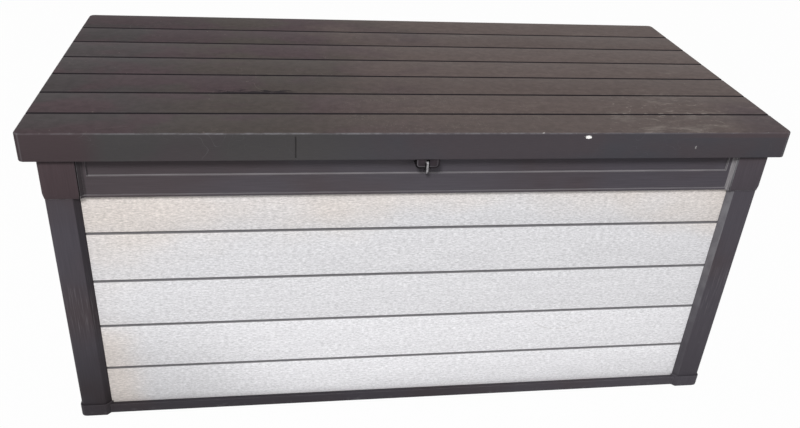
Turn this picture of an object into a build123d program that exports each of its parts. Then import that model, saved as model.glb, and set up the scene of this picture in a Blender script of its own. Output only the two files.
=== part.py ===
from build123d import *
import math
import os

# Deck storage box. Origin at the bottom centre, +X to the right, -Y is the front, +Z up, millimetres.

# Overall size
LID_WIDTH = 1460.0
LID_DEPTH = 700.0
HEIGHT = 672.0

# Lid moulding
LID_TOP_WALL = 5.0
LID_SKIRT_HEIGHT = 55.0
LID_SKIRT_WALL = 4.0
LID_CORNER_RADIUS = 12.0
LID_TOP_ROUND = 4.0
LID_PLANK_COUNT = 7
LID_FRONT_PLANK = 88.5
LID_REAR_PLANK = 105.0
LID_GROOVE_WIDTH = 6.0
LID_GROOVE_FLOOR = 3.0
LID_GROOVE_DEPTH = 2.5
SEAM_X = -247.0
SEAM_WIDTH = 1.6
SEAM_DEPTH = 0.8
SEAM_END_MARGIN = 4.0

# Lid liner
LINER_EDGE_GAP = 6.0
LINER_PLATE = 3.5
LINER_RIB = 3.0
LINER_X_BAY_COUNT = 8
LINER_Y_BAY_COUNT = 4
LINER_CHANNEL_COUNT = 6
LINER_CHANNEL_WIDTH = 46.0
LINER_CHANNEL_DEPTH = 1.2
LINER_CHANNEL_MARGIN = 120.0

# Body plan
SIDE_OVERHANG = 30.0
FRONT_OVERHANG = 11.5
REAR_OVERHANG = 17.0
RIM_INSERT = 23.0

# Corner posts, collars and feet
POST_SIZE = 60.0
POST_WALL = 4.0
POST_CORNER_RADIUS = 7.0
POST_EDGE_CUT = 10.5
COLLAR_PROUD = 3.0
COLLAR_CAP = 4.0
COLLAR_TAPER_HEIGHT = 10.0
COLLAR_TAPER_INSET = 2.0
COLLAR_LINE_DROP = 26.0
COLLAR_LINE_SIZE = 1.2
FOOT_PROUD = 3.0
FOOT_HEIGHT = 36.0
FOOT_FLOOR = 8.0
FOOT_BEVEL = 8.0
SLEEVE_CLEARANCE = 0.2

# Top rails
RAIL_HEIGHT = 104.0
RAIL_SETBACK = 6.0
RAIL_WALL = 7.0
RAIL_DEPTH = 28.0
RAIL_FLANGE = 4.0
RAIL_END_GAP = 1.0
RAIL_CHEEK = 6.0
RAIL_WEB = 3.0
RAIL_WEB_PITCH = 140.0
RAIL_LIP_HEIGHT = 12.0
RAIL_LIP_WALL = 3.0
RECESS_DEPTH = 3.5
RECESS_SILL = 45.0
RECESS_SILL_FALL = 2.5
RECESS_END_MARGIN = 16.0
BEAD_RADIUS = 2.8

# Wall panels
PANEL_SETBACK = 11.5
PANEL_THICKNESS = 22.0
PANEL_PLATE = 5.0
PANEL_RIB = 2.5
PANEL_RIB_PITCH = 180.0
PANEL_TOP_PLANK = 82.0
PANEL_BOTTOM_PLANK = 95.0
PANEL_PLANK_COUNT = 5
PANEL_GROOVE_WIDTH = 6.0
PANEL_GROOVE_FLOOR = 3.0
PANEL_GROOVE_DEPTH = 2.5
TONGUE_THICKNESS = 8.0
TONGUE_SIDE = 10.0
TONGUE_TOP = 16.0
TONGUE_BOTTOM = 9.0
TONGUE_CLEARANCE = 0.2

# Base tray
TRAY_TOP = 30.0
TRAY_BOTTOM = 7.0
TRAY_SETBACK = 3.5
TRAY_FLOOR = 3.5
TRAY_RIM = 26.0
TRAY_RIB = 3.0
TRAY_X_BAY_COUNT = 8
TRAY_Y_BAY_COUNT = 4
TRAY_EDGE_ROUND = 2.0

# Hinges
HINGE_COUNT = 3
HINGE_PITCH = 450.0
HINGE_WIDTH = 80.0
HINGE_AXIS_DROP = 10.0
HINGE_AXIS_INSET = 9.5
HINGE_KNUCKLE_RADIUS = 7.0
HINGE_PIN_RADIUS = 3.0
HINGE_PIN_CLEARANCE = 0.05
HINGE_KNUCKLE_COUNT = 3
HINGE_KNUCKLE_GAP = 0.5
HINGE_LEAF = 3.0
HINGE_BODY_LEAF_HEIGHT = 46.0
HINGE_LID_LEAF_HEIGHT = 28.0
HINGE_LEAF_DROP = 1.0
HINGE_ARM_HEIGHT = 7.0
PIN_HEAD_RADIUS = 4.5
PIN_HEAD_THICKNESS = 2.0

# Gas struts. Both anchors lie equally far from the hinge axis, so a strut turns half as far as the lid.
LID_OPEN_ANGLE = 75.0
STRUT_ANCHOR_RADIUS = 200.0
STRUT_LID_ANCHOR_ANGLE = -4.0
STRUT_POST_OFFSET = 14.5
STRUT_TUBE_RADIUS = 9.0
STRUT_TUBE_WALL = 2.0
STRUT_TUBE_START = 16.0
STRUT_TUBE_TOP_GAP = 28.8581
STRUT_TUBE_FLOOR = 6.0
STRUT_GLAND = 12.0
STRUT_ROD_RADIUS = 4.0
STRUT_ROD_CLEARANCE = 0.08
STRUT_PISTON_LENGTH = 10.0
STRUT_PISTON_GAP = 4.0
STRUT_PISTON_CLEARANCE = 0.4
STRUT_EYE_RADIUS = 8.5
STRUT_EYE_THICKNESS = 8.0
STUD_RADIUS = 4.0
STUD_CLEARANCE = 0.05
STUD_HEAD_RADIUS = 6.5
STUD_HEAD_THICKNESS = 2.0
STUD_HEAD_GAP = 2.0
SLOT_SIDE_CLEARANCE = 0.4
SLOT_END_CLEARANCE = 0.6
SLOT_END_WALL = 4.5
ROD_END_THICKNESS = 6.0
ROD_END_NECK = 12.0
BRACKET_PLATE = 3.0
BRACKET_WIDTH = 20.0
BRACKET_HEIGHT = 60.0
BRACKET_SIDE_GAP = 4.0
BRACKET_REAR_GAP = 2.4477
LID_BRACKET_WIDTH = 48.0
LID_BRACKET_FLANGE = 24.0
LID_BRACKET_FOOT_RADIUS = 11.0

# Padlock clevis and eye
CLEVIS_WIDTH = 47.0
CLEVIS_SLOT = 8.0
CLEVIS_DROP = 20.0
CLEVIS_REAR_GAP = 4.0
CLEVIS_FRONT_INSET = 3.0
CLEVIS_LOBE_ROUND = 9.0
CLEVIS_TAB_HEIGHT = 16.0
CLEVIS_TAB = 3.0
PADLOCK_HOLE_RADIUS = 4.5
PADLOCK_HOLE_RISE = 9.5
EYE_PLATE = 4.0
EYE_TOP_GAP = 3.0
EYE_HEIGHT = 31.0
EYE_NOSE_GAP = 1.5
EYE_FLANGE = 3.0
EYE_FLANGE_WIDTH = 24.0
EYE_SLOT_CLEARANCE = 0.15

# How far a cut runs past the face that it opens
CUT_MARGIN = 1.0

# Levels
SKIRT_Z = HEIGHT - LID_SKIRT_HEIGHT
RIM_Z = SKIRT_Z + RIM_INSERT
RAIL_Z = RIM_Z - RAIL_HEIGHT
SILL_Z = RAIL_Z + RECESS_SILL
POST_TOP_Z = RIM_Z - COLLAR_CAP
LID_CEILING_Z = HEIGHT - LID_TOP_WALL

# Planes of the body
LID_FRONT_Y = -LID_DEPTH / 2
LID_REAR_Y = LID_DEPTH / 2
POST_X = LID_WIDTH / 2 - SIDE_OVERHANG
POST_FRONT_Y = LID_FRONT_Y + FRONT_OVERHANG
POST_REAR_Y = LID_REAR_Y - REAR_OVERHANG
BODY_CENTRE_Y = (POST_FRONT_Y + POST_REAR_Y) / 2
BODY_WIDTH = 2 * POST_X
BODY_DEPTH = POST_REAR_Y - POST_FRONT_Y
RAIL_BACK = RAIL_SETBACK + RAIL_WALL
TONGUE_FACE = RAIL_BACK + TONGUE_CLEARANCE
PANEL_BACK = PANEL_SETBACK + PANEL_THICKNESS

# Hinge axis and strut anchors
HINGE_Y = LID_REAR_Y - HINGE_AXIS_INSET
HINGE_Z = SKIRT_Z - HINGE_AXIS_DROP
HINGE_RAIL_Y = POST_REAR_Y - RAIL_SETBACK
LID_INNER_REAR_Y = LID_REAR_Y - LID_SKIRT_WALL
STRUT_X = POST_X - POST_SIZE - STRUT_POST_OFFSET
# The body bracket stands just clear of the rear panel, which sets the angle of the lower anchor.
BODY_ANCHOR_REACH = HINGE_Y - POST_REAR_Y + PANEL_BACK + BRACKET_REAR_GAP + BRACKET_WIDTH / 2
STRUT_BODY_ANCHOR_ANGLE = -math.degrees(math.acos(BODY_ANCHOR_REACH / STRUT_ANCHOR_RADIUS))

# Padlock clevis and eye share these places
CLEVIS_LOW_Z = SKIRT_Z - CLEVIS_DROP
CLEVIS_FRONT_Y = LID_FRONT_Y + CLEVIS_FRONT_INSET
RECESS_Y = POST_FRONT_Y + RAIL_SETBACK + RECESS_DEPTH
CLEVIS_REAR_Y = RECESS_Y - CLEVIS_REAR_GAP
PADLOCK_Y = (CLEVIS_FRONT_Y + CLEVIS_REAR_Y) / 2
PADLOCK_Z = CLEVIS_LOW_Z + PADLOCK_HOLE_RISE
EYE_HIGH_Z = SKIRT_Z - EYE_TOP_GAP
EYE_LOW_Z = EYE_HIGH_Z - EYE_HEIGHT
EYE_NOSE_Y = CLEVIS_FRONT_Y - EYE_NOSE_GAP


def anchor(angle):
    """Point at the strut radius from the hinge axis, angle measured up from the forward direction."""
    y = HINGE_Y - STRUT_ANCHOR_RADIUS * math.cos(math.radians(angle))
    z = HINGE_Z + STRUT_ANCHOR_RADIUS * math.sin(math.radians(angle))
    return y, z


def strut_length(opening):
    """Distance between the two strut anchors with the lid opened by an angle in degrees."""
    spread = STRUT_LID_ANCHOR_ANGLE - STRUT_BODY_ANCHOR_ANGLE + opening
    return 2 * STRUT_ANCHOR_RADIUS * math.sin(math.radians(spread / 2))


LID_ANCHOR_Y, LID_ANCHOR_Z = anchor(STRUT_LID_ANCHOR_ANGLE)
BODY_ANCHOR_Y, BODY_ANCHOR_Z = anchor(STRUT_BODY_ANCHOR_ANGLE)
STRUT_REST = strut_length(0)
STRUT_TUBE_END = STRUT_REST - STRUT_TUBE_TOP_GAP
STRUT_STROKE = strut_length(LID_OPEN_ANGLE) - STRUT_REST
STRUT_LEAN = math.degrees(math.atan2(BODY_ANCHOR_Y - LID_ANCHOR_Y, LID_ANCHOR_Z - BODY_ANCHOR_Z))
# A steady slide falls short of the true length in mid-travel by this much, so the rod end has a slot.
SLOT_TRAVEL = max(
    strut_length(LID_OPEN_ANGLE * i / 20) - STRUT_REST - STRUT_STROKE * i / 20 for i in range(21)
)


def block(x0, x1, y0, y1, z0, z1):
    """Box between two corners."""
    size = Box(x1 - x0, y1 - y0, z1 - z0)
    return Pos((x0 + x1) / 2, (y0 + y1) / 2, (z0 + z1) / 2) * size


def rounded_block(width, depth, z0, z1, radius):
    """Upright box about the origin with rounded vertical edges."""
    return Pos(0, 0, z0) * extrude(RectangleRounded(width, depth, radius), z1 - z0)


def rod_x(x0, x1, y, z, radius):
    """Round bar along X."""
    return Pos((x0 + x1) / 2, y, z) * Rot(0, 90, 0) * Cylinder(radius, x1 - x0)


def groove_cutter(length, width, floor, depth):
    """Bar along X with the section of a groove that opens upwards at z = 0."""
    section = Polyline(
        (-width / 2, CUT_MARGIN),
        (-width / 2, 0),
        (-floor / 2, -depth),
        (floor / 2, -depth),
        (width / 2, 0),
        (width / 2, CUT_MARGIN),
        close=True,
    )
    return extrude(Plane.YZ * make_face(section), length / 2 + CUT_MARGIN, both=True)


def wall_sites():
    """Each wall's name, turn about Z, outer plane's centre and clear width between posts."""
    clear_width = BODY_WIDTH - 2 * POST_SIZE
    clear_depth = BODY_DEPTH - 2 * POST_SIZE
    return [
        ("front", 0, (0, POST_FRONT_Y), clear_width),
        ("rear", 180, (0, POST_REAR_Y), clear_width),
        ("right", 90, (POST_X, BODY_CENTRE_Y), clear_depth),
        ("left", -90, (-POST_X, BODY_CENTRE_Y), clear_depth),
    ]


def corner_sites():
    """Each corner's name, post centre and the signs of its outward directions."""
    half = POST_SIZE / 2
    sites = []
    for side, sx in (("left", -1), ("right", 1)):
        sites.append((f"front_{side}", sx * (POST_X - half), POST_FRONT_Y + half, sx, -1))
        sites.append((f"rear_{side}", sx * (POST_X - half), POST_REAR_Y - half, sx, 1))
    return sites


def make_lid_shell():
    """Lid pan: rounded block, hollow below, with plank grooves run out through its ends."""
    shell = rounded_block(LID_WIDTH, LID_DEPTH, SKIRT_Z, HEIGHT, LID_CORNER_RADIUS)
    shell = fillet(shell.faces().sort_by(Axis.Z)[-1].edges(), LID_TOP_ROUND)
    inner_width = LID_WIDTH - 2 * LID_SKIRT_WALL
    inner_depth = LID_DEPTH - 2 * LID_SKIRT_WALL
    inner_radius = LID_CORNER_RADIUS - LID_SKIRT_WALL
    shell -= rounded_block(inner_width, inner_depth, SKIRT_Z, LID_CEILING_Z, inner_radius)
    pitch = (LID_DEPTH - LID_FRONT_PLANK - LID_REAR_PLANK) / (LID_PLANK_COUNT - 2)
    groove = groove_cutter(LID_WIDTH, LID_GROOVE_WIDTH, LID_GROOVE_FLOOR, LID_GROOVE_DEPTH)
    first_row = LID_FRONT_Y + LID_FRONT_PLANK
    rows = [first_row + pitch * index for index in range(LID_PLANK_COUNT - 1)]
    shell -= [Pos(0, y, HEIGHT) * groove for y in rows]
    seam_top = HEIGHT - LID_TOP_ROUND - SEAM_END_MARGIN
    seam_low = SKIRT_Z + SEAM_END_MARGIN
    seam_left = SEAM_X - SEAM_WIDTH / 2
    seam_front = LID_FRONT_Y - CUT_MARGIN
    seam_back = LID_FRONT_Y + SEAM_DEPTH
    shell -= block(seam_left, seam_left + SEAM_WIDTH, seam_front, seam_back, seam_low, seam_top)
    return shell


def make_lid_liner():
    """Inner panel: a plate with long shallow channels below and a hidden grid of ribs above."""
    half_x = LID_WIDTH / 2 - LID_SKIRT_WALL - LINER_EDGE_GAP
    half_y = LID_DEPTH / 2 - LID_SKIRT_WALL - LINER_EDGE_GAP
    liner = block(-half_x, half_x, -half_y, half_y, RIM_Z, LID_CEILING_Z)
    bay_x = (2 * half_x - LINER_RIB) / LINER_X_BAY_COUNT
    bay_y = (2 * half_y - LINER_RIB) / LINER_Y_BAY_COUNT
    pocket = Box(bay_x - LINER_RIB, bay_y - LINER_RIB, LID_CEILING_Z - RIM_Z)
    cells = GridLocations(bay_x, bay_y, LINER_X_BAY_COUNT, LINER_Y_BAY_COUNT)
    pocket_z = (RIM_Z + LID_CEILING_Z) / 2 + LINER_PLATE
    liner -= [Pos(0, 0, pocket_z) * cell * pocket for cell in cells]
    channel_pitch = 2 * half_y / LINER_CHANNEL_COUNT
    channel_length = 2 * (half_x - LINER_CHANNEL_MARGIN)
    channel = Box(channel_length, LINER_CHANNEL_WIDTH, 2 * LINER_CHANNEL_DEPTH)
    rows = GridLocations(0, channel_pitch, 1, LINER_CHANNEL_COUNT)
    liner -= [Pos(0, 0, RIM_Z) * row * channel for row in rows]
    return liner


def column(section, z0, z1):
    """Upright bar of a section between two levels."""
    return extrude(Pos(0, 0, z0) * section, z1 - z0)


def round_outer_corner(section, radius):
    """Rounds the corner of a section that points to +X and +Y."""
    outer = section.vertices().sort_by(lambda corner: corner.X + corner.Y)[-1]
    return fillet(outer, radius)


def post_section(grow):
    """Post section widened all round: a round outer corner at +X +Y and a cut edge beside each wall."""
    half = POST_SIZE / 2 + grow
    # A face moved out by a distance takes this much more of a 45 degree cut
    cut = POST_EDGE_CUT + (2 - math.sqrt(2)) * grow
    outline = Polyline(
        (-half, -half),
        (half - cut, -half),
        (half, cut - half),
        (half, half),
        (cut - half, half),
        (-half, half - cut),
        close=True,
    )
    return round_outer_corner(make_face(outline), POST_CORNER_RADIUS + grow)


def collar_section(grow):
    """Square collar section widened all round, with its outer corner rounded like the post's."""
    size = POST_SIZE + 2 * (COLLAR_PROUD + grow)
    return round_outer_corner(Rectangle(size, size), POST_CORNER_RADIUS + COLLAR_PROUD + grow)


def at_corner(part, x, y, sx, sy):
    """Puts a piece made for an outer corner at +X +Y on the corner at x, y."""
    if sx < 0:
        part = mirror(part, Plane.YZ)
    if sy < 0:
        part = mirror(part, Plane.XZ)
    return Pos(x, y, 0) * part


def make_post():
    """Hollow corner post with a slot for a panel tongue in each of its two inner faces."""
    post = column(post_section(0), FOOT_FLOOR, POST_TOP_Z)
    post -= column(post_section(-POST_WALL), FOOT_FLOOR, POST_TOP_Z)
    slot_high = POST_SIZE / 2 - TONGUE_FACE + TONGUE_CLEARANCE
    slot_low = slot_high - TONGUE_THICKNESS - 2 * TONGUE_CLEARANCE
    slot_end = POST_WALL - POST_SIZE / 2
    post -= block(-POST_SIZE, slot_end, slot_low, slot_high, TRAY_TOP, POST_TOP_Z)
    post -= block(slot_low, slot_high, -POST_SIZE, slot_end, TRAY_TOP, POST_TOP_Z)
    return post


def make_collar():
    """Cap sleeve over a post top, tapered at its lower edge, with a fine line round it."""
    taper_top = RAIL_Z + COLLAR_TAPER_HEIGHT
    collar = column(collar_section(0), taper_top, RIM_Z)
    slope = math.degrees(math.atan(COLLAR_TAPER_INSET / COLLAR_TAPER_HEIGHT))
    collar += extrude(Pos(0, 0, taper_top) * collar_section(0), -COLLAR_TAPER_HEIGHT, taper=slope)
    line_z = RIM_Z - COLLAR_LINE_DROP
    ring = collar_section(CUT_MARGIN) - collar_section(-COLLAR_LINE_SIZE)
    collar -= column(ring, line_z - COLLAR_LINE_SIZE, line_z)
    return collar - column(post_section(SLEEVE_CLEARANCE), RAIL_Z, POST_TOP_Z)


def make_foot():
    """Foot cap with a bevelled tread and a socket for the post, open above the tray beside each panel."""
    foot = column(post_section(FOOT_PROUD), 0, FOOT_HEIGHT)
    foot = chamfer(foot.faces().sort_by(Axis.Z)[0].edges(), FOOT_BEVEL)
    foot -= column(post_section(SLEEVE_CLEARANCE), FOOT_FLOOR, FOOT_HEIGHT)
    inner = -POST_SIZE / 2
    panel_front = POST_SIZE / 2 - PANEL_SETBACK + SLEEVE_CLEARANCE
    foot -= block(-POST_SIZE, inner, -POST_SIZE, panel_front, TRAY_TOP, FOOT_HEIGHT)
    return foot - block(-POST_SIZE, panel_front, -POST_SIZE, inner, TRAY_TOP, FOOT_HEIGHT)


def make_panel(clear_width):
    """Wall panel in wall coordinates: planked plate, ribs behind it and a tongue on all four edges."""
    half = clear_width / 2
    bottom = TRAY_TOP
    panel = block(-half, half, PANEL_SETBACK, PANEL_BACK, bottom, RAIL_Z)
    plate_back = PANEL_SETBACK + PANEL_PLATE
    bays = round(clear_width / PANEL_RIB_PITCH)
    bay = (clear_width - PANEL_RIB) / bays
    levels = groove_levels()
    edges = [bottom] + levels + [RAIL_Z]
    pockets = []
    for low, high in zip(edges[:-1], edges[1:]):
        for index in range(bays):
            x0 = -half + PANEL_RIB + index * bay
            z0 = low + PANEL_RIB / 2
            z1 = high - PANEL_RIB / 2
            if low == bottom:
                z0 = low + PANEL_RIB
            if high == RAIL_Z:
                z1 = high - PANEL_RIB
            pockets.append(block(x0, x0 + bay - PANEL_RIB, plate_back, PANEL_BACK + CUT_MARGIN, z0, z1))
    panel -= pockets
    groove = groove_cutter(clear_width, PANEL_GROOVE_WIDTH, PANEL_GROOVE_FLOOR, PANEL_GROOVE_DEPTH)
    panel -= [Pos(0, PANEL_SETBACK, z) * Rot(90, 0, 0) * groove for z in levels]
    tongue_back = TONGUE_FACE + TONGUE_THICKNESS
    top_half = half - COLLAR_PROUD - RAIL_END_GAP
    panel += block(-half - TONGUE_SIDE, -half, TONGUE_FACE, tongue_back, bottom, RAIL_Z - TONGUE_CLEARANCE)
    panel += block(half, half + TONGUE_SIDE, TONGUE_FACE, tongue_back, bottom, RAIL_Z - TONGUE_CLEARANCE)
    panel += block(-top_half, top_half, TONGUE_FACE, tongue_back, RAIL_Z, RAIL_Z + TONGUE_TOP)
    panel += block(-top_half, top_half, TONGUE_FACE, tongue_back, bottom - TONGUE_BOTTOM, bottom)
    return panel


def groove_levels():
    """Heights of the grooves between wall planks, bottom to top."""
    lowest = TRAY_TOP + PANEL_BOTTOM_PLANK
    highest = RAIL_Z - PANEL_TOP_PLANK
    pitch = (highest - lowest) / (PANEL_PLANK_COUNT - 2)
    return [lowest + pitch * index for index in range(PANEL_PLANK_COUNT - 1)]


def make_rail(clear_width):
    """Top rail in wall coordinates: front wall with bead, rim flange with lip, and webs behind."""
    half = clear_width / 2 - COLLAR_PROUD - RAIL_END_GAP
    rail_back = RAIL_SETBACK + RAIL_DEPTH
    flange_z = RIM_Z - RAIL_FLANGE
    tongue_back = TONGUE_FACE + TONGUE_THICKNESS + TONGUE_CLEARANCE
    tongue_top = RAIL_Z + TONGUE_TOP + TONGUE_CLEARANCE
    rail = block(-half, half, RAIL_SETBACK, RAIL_BACK, RAIL_Z, RIM_Z)
    rail += block(-half, half, RAIL_BACK, rail_back, flange_z, RIM_Z)
    rail += block(-half, half, rail_back - RAIL_LIP_WALL, rail_back, flange_z - RAIL_LIP_HEIGHT, flange_z)
    rail += rod_x(-half, half, RAIL_SETBACK, RAIL_Z + BEAD_RADIUS, BEAD_RADIUS)
    cheek_outline = Polyline(
        (half - RAIL_CHEEK, RAIL_SETBACK),
        (half, RAIL_SETBACK - RAIL_CHEEK),
        (half, RAIL_SETBACK),
        close=True,
    )
    cheek = column(make_face(cheek_outline), RAIL_Z, RIM_Z)
    rail += [cheek, mirror(cheek, Plane.YZ)]
    outline = Polyline(
        (RAIL_BACK, flange_z),
        (RAIL_BACK, tongue_top),
        (tongue_back, tongue_top),
        (tongue_back, RAIL_Z),
        (PANEL_BACK - PANEL_RIB, RAIL_Z),
        (rail_back, RAIL_Z + RAIL_HEIGHT / 4),
        (rail_back, flange_z),
        close=True,
    )
    web = extrude(Plane.YZ * make_face(outline), RAIL_WEB / 2, both=True)
    # An odd number of bays leaves the middle free for the padlock eye
    bays = 2 * round((2 * half / RAIL_WEB_PITCH - 1) / 2) + 1
    pitch = (2 * half - RAIL_WEB) / bays
    rail += [Pos(-half + RAIL_WEB / 2 + index * pitch, 0, 0) * web for index in range(bays + 1)]
    return rail


def recess_front_rail(rail, clear_width):
    """Cuts the long front recess, open at the rim, and the slot that the padlock eye passes through."""
    half = clear_width / 2 - COLLAR_PROUD - RECESS_END_MARGIN
    recess_top = RIM_Z + CUT_MARGIN
    section = Polyline(
        (RAIL_SETBACK, recess_top),
        (RAIL_SETBACK, SILL_Z - RECESS_SILL_FALL),
        (RAIL_SETBACK + RECESS_DEPTH, SILL_Z),
        (RAIL_SETBACK + RECESS_DEPTH, recess_top),
        close=True,
    )
    rail -= extrude(Plane.YZ * make_face(section), half, both=True)
    half_slot = EYE_PLATE / 2 + EYE_SLOT_CLEARANCE
    low = EYE_LOW_Z - EYE_SLOT_CLEARANCE
    high = EYE_HIGH_Z + EYE_SLOT_CLEARANCE
    return rail - block(-half_slot, half_slot, 0, RAIL_BACK, low, high)


def make_base_tray():
    """Floor tray: notched round the feet, grooved for the panels and ribbed underneath."""
    half_x = BODY_WIDTH / 2 - TRAY_SETBACK
    half_y = BODY_DEPTH / 2 - TRAY_SETBACK
    tray = Pos(0, BODY_CENTRE_Y, (TRAY_TOP + TRAY_BOTTOM) / 2) * Box(
        2 * half_x, 2 * half_y, TRAY_TOP - TRAY_BOTTOM
    )
    tray = fillet(tray.faces().sort_by(Axis.Z)[0].edges(), TRAY_EDGE_ROUND)
    pocket_x = 2 * (half_x - TRAY_RIM)
    pocket_y = 2 * (half_y - TRAY_RIM)
    bay_x = (pocket_x + TRAY_RIB) / TRAY_X_BAY_COUNT
    bay_y = (pocket_y + TRAY_RIB) / TRAY_Y_BAY_COUNT
    depth = TRAY_TOP - TRAY_FLOOR - TRAY_BOTTOM
    pocket = Box(bay_x - TRAY_RIB, bay_y - TRAY_RIB, depth)
    cells = GridLocations(bay_x, bay_y, TRAY_X_BAY_COUNT, TRAY_Y_BAY_COUNT)
    tray -= [Pos(0, BODY_CENTRE_Y, TRAY_BOTTOM + depth / 2) * cell * pocket for cell in cells]
    notch = column(post_section(FOOT_PROUD + SLEEVE_CLEARANCE), 0, TRAY_TOP)
    tray -= [at_corner(notch, x, y, sx, sy) for _, x, y, sx, sy in corner_sites()]
    groove_front = TONGUE_FACE - TONGUE_CLEARANCE
    groove_back = TONGUE_FACE + TONGUE_THICKNESS + TONGUE_CLEARANCE
    groove_low = TRAY_TOP - TONGUE_BOTTOM - TONGUE_CLEARANCE
    groove_top = TRAY_TOP + CUT_MARGIN
    for _, turn, (x, y), clear_width in wall_sites():
        half = clear_width / 2
        groove = block(-half, half, groove_front, groove_back, groove_low, groove_top)
        tray -= Pos(x, y, 0) * Rot(0, 0, turn) * groove
    return tray


def knuckles(x, first):
    """Every second knuckle of a hinge at x, starting from the given one."""
    pitch = HINGE_WIDTH / HINGE_KNUCKLE_COUNT
    solids = []
    for index in range(first, HINGE_KNUCKLE_COUNT, 2):
        x0 = x - HINGE_WIDTH / 2 + index * pitch + HINGE_KNUCKLE_GAP / 2
        x1 = x0 + pitch - HINGE_KNUCKLE_GAP
        solids.append((x0, x1, rod_x(x0, x1, HINGE_Y, HINGE_Z, HINGE_KNUCKLE_RADIUS)))
    return solids


def make_hinge_body_leaf(x):
    """Leaf on the rear rail with cranked arms out to its knuckles."""
    half = HINGE_WIDTH / 2
    leaf_back = HINGE_RAIL_Y + HINGE_LEAF
    leaf_low = HINGE_Z - HINGE_BODY_LEAF_HEIGHT
    leaf = block(x - half, x + half, HINGE_RAIL_Y, leaf_back, leaf_low, HINGE_Z)
    for x0, x1, knuckle in knuckles(x, 0):
        leaf += block(x0, x1, HINGE_RAIL_Y, HINGE_Y, HINGE_Z - HINGE_ARM_HEIGHT, HINGE_Z)
        leaf += knuckle
    return leaf - rod_x(x - half, x + half, HINGE_Y, HINGE_Z, HINGE_PIN_RADIUS + HINGE_PIN_CLEARANCE)


def make_hinge_lid_leaf(x):
    """Leaf inside the lid's rear skirt with knuckles below it."""
    half = HINGE_WIDTH / 2
    leaf_front = LID_INNER_REAR_Y - HINGE_LEAF
    leaf_low = SKIRT_Z - HINGE_LEAF_DROP
    leaf_top = SKIRT_Z + HINGE_LID_LEAF_HEIGHT
    leaf = block(x - half, x + half, leaf_front, LID_INNER_REAR_Y, leaf_low, leaf_top)
    for x0, x1, knuckle in knuckles(x, 1):
        leaf += block(x0, x1, leaf_front, LID_INNER_REAR_Y, HINGE_Z, leaf_low)
        leaf += knuckle
    return leaf - rod_x(x - half, x + half, HINGE_Y, HINGE_Z, HINGE_PIN_RADIUS + HINGE_PIN_CLEARANCE)


def make_hinge_pin(x):
    """Headed pin through a hinge's knuckles."""
    half = HINGE_WIDTH / 2
    pin = rod_x(x - half, x + half, HINGE_Y, HINGE_Z, HINGE_PIN_RADIUS)
    return pin + rod_x(x - half - PIN_HEAD_THICKNESS, x - half, HINGE_Y, HINGE_Z, PIN_HEAD_RADIUS)


def lean(part):
    """Puts a strut piece, modelled upright on its body anchor, at its place on the right side."""
    return Pos(STRUT_X, BODY_ANCHOR_Y, BODY_ANCHOR_Z) * Rot(STRUT_LEAN, 0, 0) * part


def make_strut_cylinder():
    """Gas strut tube with a gland at its mouth and an eye at its foot."""
    bore = STRUT_TUBE_RADIUS - STRUT_TUBE_WALL
    profile = Polyline(
        (0, STRUT_TUBE_START),
        (STRUT_TUBE_RADIUS, STRUT_TUBE_START),
        (STRUT_TUBE_RADIUS, STRUT_TUBE_END),
        (STRUT_ROD_RADIUS + STRUT_ROD_CLEARANCE, STRUT_TUBE_END),
        (STRUT_ROD_RADIUS + STRUT_ROD_CLEARANCE, STRUT_TUBE_END - STRUT_GLAND),
        (bore, STRUT_TUBE_END - STRUT_GLAND),
        (bore, STRUT_TUBE_START + STRUT_TUBE_FLOOR),
        (0, STRUT_TUBE_START + STRUT_TUBE_FLOOR),
        close=True,
    )
    cylinder = revolve(Plane.XZ * make_face(profile), Axis.Z)
    cylinder = chamfer(cylinder.edges().filter_by(GeomType.CIRCLE).sort_by(Axis.Z)[0], STRUT_TUBE_WALL)
    half = STRUT_EYE_THICKNESS / 2
    cylinder += rod_x(-half, half, 0, 0, STRUT_EYE_RADIUS)
    cylinder += block(-half, half, -half, half, 0, STRUT_TUBE_START)
    return cylinder - rod_x(-half, half, 0, 0, STUD_RADIUS + STUD_CLEARANCE)


def make_strut_rod():
    """Rod with its piston and a flat end slotted for the lid stud."""
    slot_low = STRUT_REST - SLOT_END_CLEARANCE
    slot_high = STRUT_REST + SLOT_TRAVEL + SLOT_END_CLEARANCE
    slot_radius = STUD_RADIUS + SLOT_SIDE_CLEARANCE
    end_radius = slot_radius + SLOT_END_WALL
    piston_low = STRUT_TUBE_START + STRUT_TUBE_FLOOR + STRUT_PISTON_GAP
    piston_radius = STRUT_TUBE_RADIUS - STRUT_TUBE_WALL - STRUT_PISTON_CLEARANCE
    rod_top = slot_low - slot_radius
    rod = Pos(0, 0, piston_low) * extrude(Circle(STRUT_ROD_RADIUS), rod_top - piston_low)
    rod += Pos(0, 0, piston_low) * extrude(Circle(piston_radius), STRUT_PISTON_LENGTH)
    middle = (slot_low + slot_high) / 2
    span = slot_high - slot_low
    end = extrude(SlotCenterToCenter(span, 2 * end_radius), ROD_END_THICKNESS / 2, both=True)
    end -= extrude(SlotCenterToCenter(span, 2 * slot_radius), ROD_END_THICKNESS, both=True)
    rod += Pos(0, 0, middle) * Rot(0, 90, 0) * end
    neck_low = rod_top - ROD_END_NECK
    half_neck = ROD_END_THICKNESS / 2
    return rod + block(-half_neck, half_neck, -STRUT_ROD_RADIUS, STRUT_ROD_RADIUS, neck_low, rod_top)


def make_stud(x_plate, y, z, thickness):
    """Headed stud that stands inward from a plate face and holds a strut end of the given thickness."""
    head_outer = STRUT_X - thickness / 2 - STUD_HEAD_GAP
    stud = rod_x(head_outer, x_plate, y, z, STUD_RADIUS)
    return stud + rod_x(head_outer - STUD_HEAD_THICKNESS, head_outer, y, z, STUD_HEAD_RADIUS)


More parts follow.
